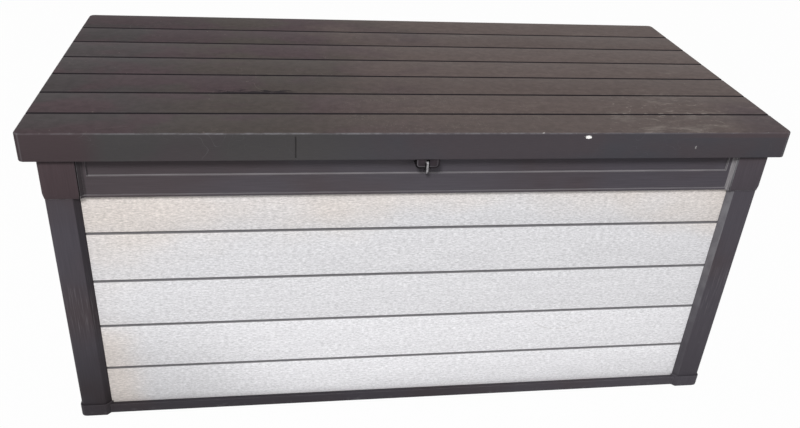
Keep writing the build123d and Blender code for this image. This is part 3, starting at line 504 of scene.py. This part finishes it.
def shaded_resin():
    """Smoother resin of the padlock lobes, darkened with painted shade. A painted shadow outline and a
    painted highlight line round them are fainter at the right.
    """
    s = Shader("dark_resin_lobes")
    cloud = s.noise(s.place, 90.0, 4.0, 0.6)
    pebble = s.noise(s.place, PEBBLE_SCALE, 2.0)
    colour = s.mix(s.ease(cloud, 0.35, 0.65, 0.0, 0.3), LOBE_SHADE, DARK_WARM)
    outward = s.math("SUBTRACT", s.math("ABSOLUTE", s.x), CLEVIS_HIGH.x - LOBE_ROUND)
    outward = s.math("MAXIMUM", outward, 0.0)
    down = s.math("MAXIMUM", s.math("SUBTRACT", CLEVIS_LOW.z + LOBE_ROUND, s.z), 0.0)
    reach = s.length(outward, down)
    crisp = s.ease(s.x, 0.0, 0.015, 1.0, 0.45)
    # Painted highlight line and painted shadow outline round the lobes
    highlight_line = s.both(s.near(reach, LOBE_ROUND - 0.0042, 0.0004, 0.0008), 0.35)
    colour = s.mix(s.both(highlight_line, crisp), colour, WORN_AND_HIGHLIGHT_GREY)
    shadow_line = s.ease(reach, LOBE_ROUND - 0.0034, LOBE_ROUND - 0.0026)
    colour = s.mix(s.both(shadow_line, crisp), colour, LOBE_SHADOW_LINE)
    rough = s.ease(cloud, 0.3, 0.7, 0.45, 0.60)
    return s.finish(colour, rough, s.bump(pebble, 0.0001, 0.30), Specular_IOR_Level=0.05)


def collar_tint(s):
    """Reddish left collars, fading towards the right ones."""
    return s.ease(s.x, *COLLAR_TINT_SPAN, 0.8, 0.25)


def post_shade(s):
    """Painted shade on the inner side of the left posts, which faces away from the light, fainter towards
    the ground.
    """
    inner = s.both(s.ease(s.split(s.normal)[0], 0.40, 0.65), s.math("LESS_THAN", s.x, 0.0))
    return s.ease(s.both(inner, s.ease(s.z, *POST_SHADE_HEIGHT, 0.25, 1.0)), 0.0, 1.0, 1.0, 0.62)


def rail_shade(s):
    """Painted shade on the left end of the front rail."""
    return s.ease(s.x, *RAIL_SHADE_SPAN, 0.55, 1.0)


def post_scuff_and_sheen(s, grain):
    """Scuffed patch with upright streaks half way down the posts. Right posts have a streaked painted
    reflection on their inner side, strongest at the collars and fainter towards the ground.
    """
    ragged = s.noise(s.place, 40.0, 4.0)
    height = s.math("ADD", s.z, s.ease(ragged, 0.3, 0.7, -0.03, 0.03))
    band = s.near(height, POST_SCUFF_Z, POST_SCUFF_HALF * 0.4, POST_SCUFF_HALF)
    streaks = s.both(band, s.ease(grain, 0.50, 0.75, 0.0, 0.30))
    # Painted reflection on the inner side of the right posts and collars
    inner = s.both(s.ease(s.split(s.normal)[0], -0.45, -0.65), s.math("GREATER_THAN", s.x, 0.0))
    dust_and_sheen = s.ease(ragged, 0.3, 0.7, 0.42, 0.70)
    dust_and_sheen = s.math("ADD", dust_and_sheen, s.ease(s.z, *COLLAR_SHEEN_HEIGHT, 0.0, 0.35))
    dust_and_sheen = s.math("ADD", dust_and_sheen, s.ease(grain, 0.55, 0.75, 0.0, 0.25))
    dust_and_sheen = s.both(dust_and_sheen, s.ease(s.z, *POST_SHEEN_HEIGHT, 0.22, 1.0))
    return s.math("MAXIMUM", streaks, s.both(inner, dust_and_sheen))


def rail_lines(s, grain):
    """Painted highlights on the recess sill, the recess's right end and the bead top, a streaked painted
    highlight on the right cheek, and a slightly lighter left part.
    """
    inside = s.near(s.x, 0.0, SILL_HALF, 0.002)
    # Painted highlights along the sill, the bead top and the recess's right end
    sill = s.both(s.near(s.z, SILL_Z, 0.0006, RAIL_LINE_BLUR), inside)
    bead = s.both(s.near(s.z, BEAD_TOP, 0.0004, RAIL_LINE_BLUR), 0.6)
    above = s.ease(s.z, SILL_Z, SILL_Z + 0.001)
    end = s.both(s.near(s.x, SILL_HALF, 0.0008, RAIL_LINE_BLUR), above)
    lines = s.math("MAXIMUM", s.math("MAXIMUM", sill, bead), end)
    lines = s.both(lines, s.ease(grain, 0.3, 0.7, 0.30, 0.57))
    upright = s.drawn(CHEEK_STREAKS)
    # Streaked painted highlight on the right cheek, which faces the light
    cheek = s.both(s.ease(s.x, *RAIL_CHEEK_SPAN), s.ease(upright, 0.38, 0.62, 0.30, 0.85))
    lightened = s.ease(s.x, *RAIL_LIGHTENED_SPAN, 0.034, 0.0)
    return s.math("MAXIMUM", lightened, s.math("MAXIMUM", lines, cheek))


def low_dust_and_highlight(s, _grain):
    """Chipped lower edge with dust, and painted light that grows towards the right."""
    ragged = s.noise(s.place, 70.0, 5.0, 0.7)
    low = s.ease(s.z, *LOW_DUST_HEIGHT, 1.0, 0.0)
    marks = s.both(low, s.ease(ragged, 0.52, 0.72, 0.0, 0.5))
    # Painted light: lighter towards the right
    return s.math("ADD", marks, s.ease(s.x, *LOW_HIGHLIGHT_SPAN, 0.0, 0.04))


# Wall planks: noise scales per metre, and the spans of their tints and painted light, up a wall or along it
# (x + y)
PLANK_FLECKS = (105, 1, 400)
PLANK_MOTTLE = (230, 1, 420)
PLANK_VEINS = (7, 1, 110)
PLANK_TINTS = (1.8, 1, 3.0)
WARM_HEIGHT = (0.36, PANEL_TOP)
WARM_LEFT_SPAN = (-1.0, -0.5)
LOW_LEFT_SPAN = (-0.95, -0.84)
LOW_LEFT_HEIGHT = (0.06, 0.30)
TOP_RIGHT_SPAN = (-0.30, 0.0)
TOP_RIGHT_HEIGHT = (0.38, 0.48)
WALL_LIGHT_HEIGHT = (0.08, 0.50)
WALL_DIRT_SPAN = (-0.95, -0.45)
WALL_DIRT_HEIGHT = (0.05, 0.36)
WALL_FOOT_HEIGHT = (WALL_FOOT, WALL_FOOT + 0.018)
# Height of the wall scratch's upper end, from the centre of its curve
WALL_SCRATCH_BELOW = (-0.066, -0.058)


def plank_resin():
    """Pale wall planks: short mottled grain along the wall, mixed warm and cool tints, painted shade in the
    grooves and painted light towards the bottom.
    """
    s = Shader("plank_resin")
    along = s.math("ADD", s.x, s.y)
    wall = s.join(along, 0.0, s.z)
    fleck = s.drawn(PLANK_FLECKS, 4.0, 0.65, 0.3, wall)
    mottle = s.drawn(PLANK_MOTTLE, 3.0, 0.6, 0.0, wall)
    vein = s.drawn(PLANK_VEINS, 4.0, 0.6, 0.3, wall)
    colour = s.mix(s.ease(plank_warmth(s, wall, along), 0.42, 0.70), PLANK_COOL, PLANK_WARM)
    colour = s.shade(colour, s.ease(fleck, 0.28, 0.72, 0.74, 1.13))
    colour = s.shade(colour, s.ease(mottle, 0.28, 0.72, 0.88, 1.08))
    colour = s.shade(colour, s.ease(vein, 0.3, 0.7, 0.96, 1.03))
    tone = s.row_tone(s.z, WALL_GROOVE_LOW, WALL_GROOVE_PITCH)
    colour = s.shade(colour, s.ease(tone, 0.0, 1.0, 0.98, 1.02))
    # Painted light: lighter towards the bottom of the wall, darker near its top
    colour = s.shade(colour, s.ease(s.z, *WALL_LIGHT_HEIGHT, 1.13, 0.95))
    line = s.scratches(wall, 4.5, 0.003, 3.0, 0.60)
    colour = s.mix(s.both(line, 0.30), colour, PLANK_FLECK)
    colour = s.mix(wall_scratch(s), colour, PLANK_FLECK)
    # Painted shade in the grooves between the planks
    gap = s.repeat_gap(s.z, WALL_GROOVE_LOW, WALL_GROOVE_PITCH)
    seam = s.near(gap, 0.0, GROOVE_HALF_WIDTH * 0.8, GROOVE_HALF_WIDTH * 0.4)
    colour = s.mix(s.both(seam, 0.92), colour, PLANK_GROOVE_SHADE)
    dirty = s.both(s.ease(along, *WALL_DIRT_SPAN, 1.0, 0.0), s.ease(s.z, *WALL_DIRT_HEIGHT, 1.0, 0.0))
    colour = s.shade(colour, s.ease(dirty, 0.0, 1.0, 1.0, 0.76))
    low = s.ease(s.z, *WALL_FOOT_HEIGHT, 1.0, 0.0)
    colour = s.mix(s.both(low, s.ease(fleck, 0.40, 0.70, 0.0, 0.4)), colour, PLANK_FLECK)
    rough = s.ease(mottle, 0.3, 0.7, 0.58, 0.72)
    height = s.math("ADD", s.both(fleck, -0.8), s.both(vein, 0.5))
    normal = s.bump(height, 0.0005, 0.35)
    normal = s.bump(mottle, 0.0002, 0.30, normal)
    return s.finish(colour, rough, normal, Specular_IOR_Level=0.25)


def plank_warmth(s, wall, along):
    """Cloudy warmth of the planks, highest near the wall's top and at its left end."""
    warm = s.drawn(PLANK_TINTS, vector=wall)
    warm = s.math("ADD", warm, s.ease(s.z, *WARM_HEIGHT, -0.15, 0.13))
    warm = s.math("ADD", warm, s.ease(along, *WARM_LEFT_SPAN, 0.14, -0.06))
    low_left = s.both(s.ease(along, *LOW_LEFT_SPAN, 0.28, 0.0), s.ease(s.z, *LOW_LEFT_HEIGHT, 1.0, 0.0))
    warm = s.math("ADD", warm, low_left)
    top_right = s.both(s.ease(along, *TOP_RIGHT_SPAN, 0.0, 0.14), s.ease(s.z, *TOP_RIGHT_HEIGHT))
    return s.math("ADD", warm, top_right)


def wall_scratch(s):
    """Faint curved scratch on the front wall's fourth plank from the top."""
    across = s.math("SUBTRACT", s.x, WALL_SCRATCH_X)
    up = s.math("SUBTRACT", s.z, WALL_SCRATCH_Z)
    line = s.near(s.length(across, up), WALL_SCRATCH_RADIUS, 0.0004, 0.0008)
    below = s.ease(up, *WALL_SCRATCH_BELOW, 1.0, 0.0)
    front = s.math("LESS_THAN", s.y, 0.0)
    broken = s.ease(s.noise(s.place, 120.0, 2.0), 0.35, 0.55, 0.1, 0.6)
    return s.both(s.both(line, below), s.both(front, broken))


# Metals and strut paint: noise scales per metre
ZINC_DRAW = (30, 900, 900)
STEEL_DRAW = (900, 60, 900)
CHROME_DRAW = (700, 40, 40)
STRUT_RUBS = (60, 60, 25)


def brushed_metal(name, bright, dull, scale, rough_low, rough_high, cloud_scale=45.0):
    """Plated or polished steel with fine draw marks and dull spots."""
    s = Shader(name)
    marks = s.drawn(scale, 3.0, 0.6)
    cloud = s.noise(s.place, cloud_scale, 4.0, 0.6)
    spots = s.specks(s.place, 260.0, 0.22, 0.12)
    colour = s.mix(s.ease(cloud, 0.40, 0.70), bright, dull)
    colour = s.mix(s.both(spots, 0.5), colour, dull)
    colour = s.shade(colour, s.ease(marks, 0.3, 0.7, 0.93, 1.05))
    rough = s.ease(cloud, 0.35, 0.70, rough_low, rough_high)
    normal = s.bump(marks, 0.0001, 0.20)
    return s.finish(colour, rough, normal, Metallic=1.0)


def strut_paint():
    """Satin black paint with a slight orange peel and light rubs."""
    s = Shader("strut_paint")
    peel = s.noise(s.place, 480.0, 2.0)
    rub = s.drawn(STRUT_RUBS, 4.0, 0.65)
    colour = s.mix(s.ease(rub, 0.50, 0.75), STRUT_BLACK, STRUT_GREY)
    rough = s.ease(rub, 0.3, 0.7, 0.28, 0.42)
    return s.finish(colour, rough, s.bump(peel, 0.0001, 0.20), Specular_IOR_Level=0.5)


def make_materials():
    """All finishes, by the keys of material_key."""
    return {
        "lid": lid_resin(),
        "plank": plank_resin(),
        "rail_front": dark_resin("dark_resin_front_rail", "x", rail_lines, rail_shade, wear_and_highlight_colour=RAIL_HIGHLIGHT),
        "rail_x": dark_resin("dark_resin_along_x", "x"),
        "rail_y": dark_resin("dark_resin_along_y", "y"),
        "post": dark_resin("dark_resin_upright", "z", post_scuff_and_sheen, post_shade),
        "collar": dark_resin("dark_resin_collar", "z", post_scuff_and_sheen, post_shade, collar_tint),
        "tray": dark_resin("dark_resin_tray", "x", low_dust_and_highlight),
        "clevis": shaded_resin(),
        "foot": dark_resin("foot_resin", "z", low_dust_and_highlight),
        "zinc": brushed_metal("zinc_steel", ZINC, ZINC_DULL, ZINC_DRAW, 0.30, 0.48),
        "bright": brushed_metal("bright_steel", STEEL, STEEL_DULL, STEEL_DRAW, 0.30, 0.46, 210.0),
        "strut": strut_paint(),
        "chrome": brushed_metal("strut_chrome", CHROME, CHROME_DULL, CHROME_DRAW, 0.06, 0.14),
    }


def material_key(node):
    """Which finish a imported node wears."""
    if node == "lid_shell":
        return "lid"
    if node.endswith("_panel"):
        return "plank"
    if node == "front_rail":
        return "rail_front"
    if node in ("left_rail", "right_rail"):
        return "rail_y"
    if node.startswith("post_"):
        return "post"
    if node.startswith("collar_"):
        return "collar"
    if node.startswith("foot_"):
        return "foot"
    if node == "base_tray":
        return "tray"
    if node == "lock_clevis":
        return "clevis"
    if node == "lock_eye":
        return "bright"
    if node.startswith("hinge_") or node.endswith("_bracket"):
        return "zinc"
    if node.endswith("strut_cylinder"):
        return "strut"
    if node.endswith("strut_rod"):
        return "chrome"
    return "rail_x"


# Width of the small rounds on moulded and stamped edges, in metres
EDGE_ROUND = {
    "lid": 0.0012,
    "plank": 0.0008,
    "rail_front": 0.0009,
    "rail_x": 0.0009,
    "rail_y": 0.0009,
    "post": 0.0010,
    "collar": 0.0010,
    "foot": 0.0012,
}
STEEL_ROUND = 0.0004
ROUND_SEGMENTS = 2
# Finishes of pieces with very narrow faces, where a round stops before it would meet another
NARROW = ("rail_front", "rail_x", "rail_y", "chrome")
EDGE_ANGLE = math.radians(35)
WELD_REACH = 0.00001


def smooth_group():
    """Modifier nodes that smooth the shading of everything but sharp edges."""
    group = bpy.data.node_groups.new("smooth_by_angle", "GeometryNodeTree")
    group.interface.new_socket("Geometry", in_out="INPUT", socket_type="NodeSocketGeometry")
    group.interface.new_socket("Geometry", in_out="OUTPUT", socket_type="NodeSocketGeometry")
    start = group.nodes.new("NodeGroupInput")
    end = group.nodes.new("NodeGroupOutput")
    faces = group.nodes.new("GeometryNodeSetShadeSmooth")
    faces.domain = "FACE"
    edges = group.nodes.new("GeometryNodeSetShadeSmooth")
    edges.domain = "EDGE"
    angle = group.nodes.new("GeometryNodeInputMeshEdgeAngle")
    flat_enough = group.nodes.new("FunctionNodeCompare")
    flat_enough.operation = "LESS_THAN"
    flat_enough.inputs["B"].default_value = EDGE_ANGLE
    link = group.links.new
    link(start.outputs[0], faces.inputs["Geometry"])
    link(faces.outputs[0], edges.inputs["Geometry"])
    link(angle.outputs["Unsigned Angle"], flat_enough.inputs["A"])
    link(flat_enough.outputs[0], edges.inputs["Shade Smooth"])
    link(edges.outputs[0], end.inputs[0])
    return group


def dress(node, materials, smooth):
    """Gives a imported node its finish, small rounded edges and smooth shading."""
    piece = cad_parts[node]
    key = material_key(node)
    piece.data.materials.clear()
    piece.data.materials.append(materials[key])
    weld = piece.modifiers.new("weld", "WELD")
    weld.merge_threshold = WELD_REACH
    bevel = piece.modifiers.new("edge_round", "BEVEL")
    bevel.width = EDGE_ROUND.get(key, STEEL_ROUND)
    bevel.segments = ROUND_SEGMENTS
    bevel.limit_method = "ANGLE"
    bevel.angle_limit = EDGE_ANGLE
    bevel.loop_slide = False
    bevel.use_clamp_overlap = key in NARROW
    shading = piece.modifiers.new("smooth", "NODES")
    shading.node_group = smooth


# Screws and their seats, in metres, and the turn from one screw's cross to the next, in radians
SCREW_HEAD_RADIUS = 0.0042
SCREW_HEAD_HEIGHT = 0.0024
SCREW_SHANK_RADIUS = 0.0019
SCREW_LENGTH = 0.0058
SCREW_SIDES = 24
SCREW_TURN = 0.7
SCREW_RECESS = 0.0012
SCREW_RECESS_ARM = 0.0024
SCREW_RECESS_HALF = 0.00055
HINGE_PITCH = 0.027
HINGE_LEAF = 0.003
HINGE_KNUCKLE_HEIGHT = 0.014
LID_LEAF_SCREW_DROP = 0.0145
BODY_BRACKET_PITCH = 0.042
LID_BRACKET_PITCH = 0.030
BRACKET_PLATE = 0.003
LID_BRACKET_FLANGE = 0.024
# Shares of a screw head's radius and height, from its seat to its crown
SCREW_DOME = ((1.0, 0.0), (1.0, 0.45), (0.90, 0.80), (0.72, 1.0))


def ring(mesh, radius, height):
    return [
        mesh.verts.new((radius * math.cos(turn), radius * math.sin(turn), height))
        for turn in (2 * math.pi * index / SCREW_SIDES for index in range(SCREW_SIDES))
    ]


def bridge(mesh, lower, upper):
    count = len(lower)
    for index in range(count):
        after = (index + 1) % count
        mesh.faces.new((lower[index], lower[after], upper[after], upper[index]))


def loop_edges(mesh, loop):
    """Edges of a closed row of corners."""
    return [mesh.edges.get((corner, after)) for corner, after in zip(loop, loop[1:] + loop[:1])]


def cross_outline():
    """Corner points of a driver cross, anticlockwise from the right arm's lower corner."""
    arm, half = SCREW_RECESS_ARM, SCREW_RECESS_HALF
    quarter = [(arm, -half), (arm, half), (half, half)]
    points = []
    for turn in range(4):
        for x, y in quarter:
            for _ in range(turn):
                x, y = -y, x
            points.append((x, y))
    return points


def screw_mesh():
    """Domed screw, its head up along Z from the seat at z = 0, with a driver cross sunk into the head."""
    mesh = bmesh.new()
    rows = [ring(mesh, SCREW_SHANK_RADIUS, -SCREW_LENGTH), ring(mesh, SCREW_SHANK_RADIUS, 0.0)]
    for share, rise in SCREW_DOME:
        rows.append(ring(mesh, SCREW_HEAD_RADIUS * share, SCREW_HEAD_HEIGHT * rise))
    for lower, upper in zip(rows[:-1], rows[1:]):
        bridge(mesh, lower, upper)
    mesh.faces.new(list(reversed(rows[0])))
    rim = [mesh.verts.new((x, y, SCREW_HEAD_HEIGHT)) for x, y in cross_outline()]
    floor = [mesh.verts.new((x, y, SCREW_HEAD_HEIGHT - SCREW_RECESS)) for x, y in cross_outline()]
    bridge(mesh, rim, floor)
    mesh.faces.new(floor)
    crown = loop_edges(mesh, rows[-1]) + loop_edges(mesh, rim)
    bmesh.ops.triangle_fill(mesh, use_beauty=True, edges=crown)
    bmesh.ops.recalc_face_normals(mesh, faces=mesh.faces)
    return mesh


def screw_group(name, body, seats, material, smooth):
    """One piece holding a screw at each seat, a point and the direction its head faces."""
    whole = bpy.data.meshes.new(name)
    gathered = bmesh.new()
    for index, (point, facing) in enumerate(seats):
        single = screw_mesh()
        turn = Matrix.Rotation(SCREW_TURN * index, 4, "Z")
        aim = facing.to_track_quat("Z", "Y").to_matrix().to_4x4()
        single.transform(Matrix.Translation(point) @ aim @ turn)
        loose = bpy.data.meshes.new(name + "_one")
        single.to_mesh(loose)
        single.free()
        gathered.from_mesh(loose)
        bpy.data.meshes.remove(loose)
    gathered.to_mesh(whole)
    gathered.free()
    piece = bpy.data.objects.new(name, whole)
    bpy.context.scene.collection.objects.link(piece)
    whole.materials.append(material)
    shading = piece.modifiers.new("smooth", "NODES")
    shading.node_group = smooth
    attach(piece, body)


def hinge_seats(kind):
    """Screw seats on the three hinge leaves of one kind."""
    seats = []
    for number in (1, 2, 3):
        low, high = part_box(f"hinge_{kind}_leaf_{number}")
        middle = (low.x + high.x) / 2
        if kind == "body":
            y = low.y + HINGE_LEAF
            z = (low.z + high.z - HINGE_KNUCKLE_HEIGHT) / 2
            facing = Vector((0, 1, 0))
        else:
            y = low.y
            z = high.z - LID_LEAF_SCREW_DROP
            facing = Vector((0, -1, 0))
        for side in (-1, 1):
            seats.append((Vector((middle + side * HINGE_PITCH, y, z)), facing))
    return seats


def bracket_seats(kind):
    """Screw seats on the strut brackets of both sides."""
    seats = []
    for side, outward in (("left", -1), ("right", 1)):
        low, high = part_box(f"{side}_strut_{kind}_bracket")
        middle = (low + high) / 2
        outer_x = high.x if outward > 0 else low.x
        for step in (-0.5, 0.5):
            if kind == "body":
                x = outer_x - outward * BRACKET_PLATE
                point = Vector((x, middle.y, middle.z + step * BODY_BRACKET_PITCH))
                facing = Vector((-outward, 0, 0))
            else:
                x = outer_x - outward * (BRACKET_PLATE + LID_BRACKET_FLANGE / 2)
                point = Vector((x, middle.y + step * LID_BRACKET_PITCH, high.z - BRACKET_PLATE))
                facing = Vector((0, 0, -1))
            seats.append((point, facing))
    return seats


def add_screws(materials, smooth):
    zinc = materials["zinc"]
    screw_group("hinge_screws_body", "box", hinge_seats("body"), zinc, smooth)
    screw_group("hinge_screws_lid", "lid", hinge_seats("lid"), zinc, smooth)
    screw_group("bracket_screws_body", "box", bracket_seats("body"), zinc, smooth)
    screw_group("bracket_screws_lid", "lid", bracket_seats("lid"), zinc, smooth)


# Studio: places and sizes in metres, powers in watts
FLOOR_SIZE = 14.0
FLOOR_COLOUR = (0.60, 0.60, 0.60, 1)
FLOOR_GLOW = 0.97
WORLD_COLOUR = (1, 1, 1, 1)
WORLD_LEVEL = 0.42
WORLD_SEEN_LEVEL = 1.0
KEY_PLACE = (-4.9, -10.6, 11.9)
KEY_SIZE = 4.0
KEY_POWER = 2150.0
FILL_PLACE = (3.6, -3.4, 2.2)
FILL_SIZE = 3.0
FILL_POWER = 26.0
LAMP_TARGET = (0, -0.2, 0.35)


def seen_directly(tree):
    """1 for rays from the camera, off a mirror or through glass, 0 for light that falls on the object."""
    path = tree.nodes.new("ShaderNodeLightPath")
    total = path.outputs["Is Camera Ray"]
    for name in ("Is Glossy Ray", "Is Transmission Ray"):
        add = tree.nodes.new("ShaderNodeMath")
        add.operation = "MAXIMUM"
        tree.links.new(total, add.inputs[0])
        tree.links.new(path.outputs[name], add.inputs[1])
        total = add.outputs[0]
    return total


def add_floor():
    """Pale floor that stays near white to the eye and keeps the box's shadow."""
    mesh = bpy.data.meshes.new("floor")
    half = FLOOR_SIZE / 2
    corners = [(-half, -half, 0), (half, -half, 0), (half, half, 0), (-half, half, 0)]
    mesh.from_pydata(corners, [], [(0, 1, 2, 3)])
    floor = bpy.data.objects.new("floor", mesh)
    bpy.context.scene.collection.objects.link(floor)
    material = bpy.data.materials.new("floor")
    material.use_nodes = True
    tree = material.node_tree
    tree.nodes.clear()
    matte = tree.nodes.new("ShaderNodeBsdfDiffuse")
    matte.inputs["Color"].default_value = FLOOR_COLOUR
    glow = tree.nodes.new("ShaderNodeEmission")
    blend = tree.nodes.new("ShaderNodeMixShader")
    share = tree.nodes.new("ShaderNodeMath")
    share.operation = "MULTIPLY"
    share.inputs[1].default_value = FLOOR_GLOW
    tree.links.new(seen_directly(tree), share.inputs[0])
    tree.links.new(share.outputs[0], blend.inputs[0])
    tree.links.new(matte.outputs[0], blend.inputs[1])
    tree.links.new(glow.outputs[0], blend.inputs[2])
    out = tree.nodes.new("ShaderNodeOutputMaterial")
    tree.links.new(blend.outputs[0], out.inputs["Surface"])
    mesh.materials.append(material)


def add_world():
    """Even white surroundings at a plain level."""
    world = bpy.data.worlds.new("studio")
    bpy.context.scene.world = world
    world.use_nodes = True
    tree = world.node_tree
    background = tree.nodes["Background"]
    background.inputs["Color"].default_value = WORLD_COLOUR
    level = tree.nodes.new("ShaderNodeMapRange")
    level.inputs["To Min"].default_value = WORLD_LEVEL
    level.inputs["To Max"].default_value = WORLD_SEEN_LEVEL
    tree.links.new(seen_directly(tree), level.inputs["Value"])
    tree.links.new(level.outputs[0], background.inputs["Strength"])


def add_lamp(name, place, target, size, power):
    """Square soft box aimed at a point."""
    data = bpy.data.lights.new(name, "AREA")
    data.shape = "SQUARE"
    data.size = size
    data.energy = power
    lamp = bpy.data.objects.new(name, data)
    lamp.location = place
    lamp.rotation_euler = (Vector(target) - Vector(place)).to_track_quat("-Z", "Y").to_euler()
    bpy.context.scene.collection.objects.link(lamp)


def add_lamps():
    add_lamp("key", KEY_PLACE, LAMP_TARGET, KEY_SIZE, KEY_POWER)
    add_lamp("fill", FILL_PLACE, LAMP_TARGET, FILL_SIZE, FILL_POWER)


def add_camera():
    data = bpy.data.cameras.new("camera")
    data.sensor_fit = "HORIZONTAL"
    data.sensor_width = CAMERA_SENSOR
    data.lens = CAMERA_LENS
    camera = bpy.data.objects.new("camera", data)
    axes = Matrix((CAMERA_RIGHT, -CAMERA_DOWN, -CAMERA_FORWARD)).transposed()
    camera.matrix_world = Matrix.Translation(CAMERA_PLACE) @ axes.to_4x4()
    bpy.context.scene.collection.objects.link(camera)
    bpy.context.scene.camera = camera


def main():
    materials = make_materials()
    smooth = smooth_group()
    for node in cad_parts:
        dress(node, materials, smooth)
    add_screws(materials, smooth)
    add_floor()
    add_world()
    add_lamps()
    add_camera()
    bpy.context.scene.view_settings.view_transform = "Standard"


main()
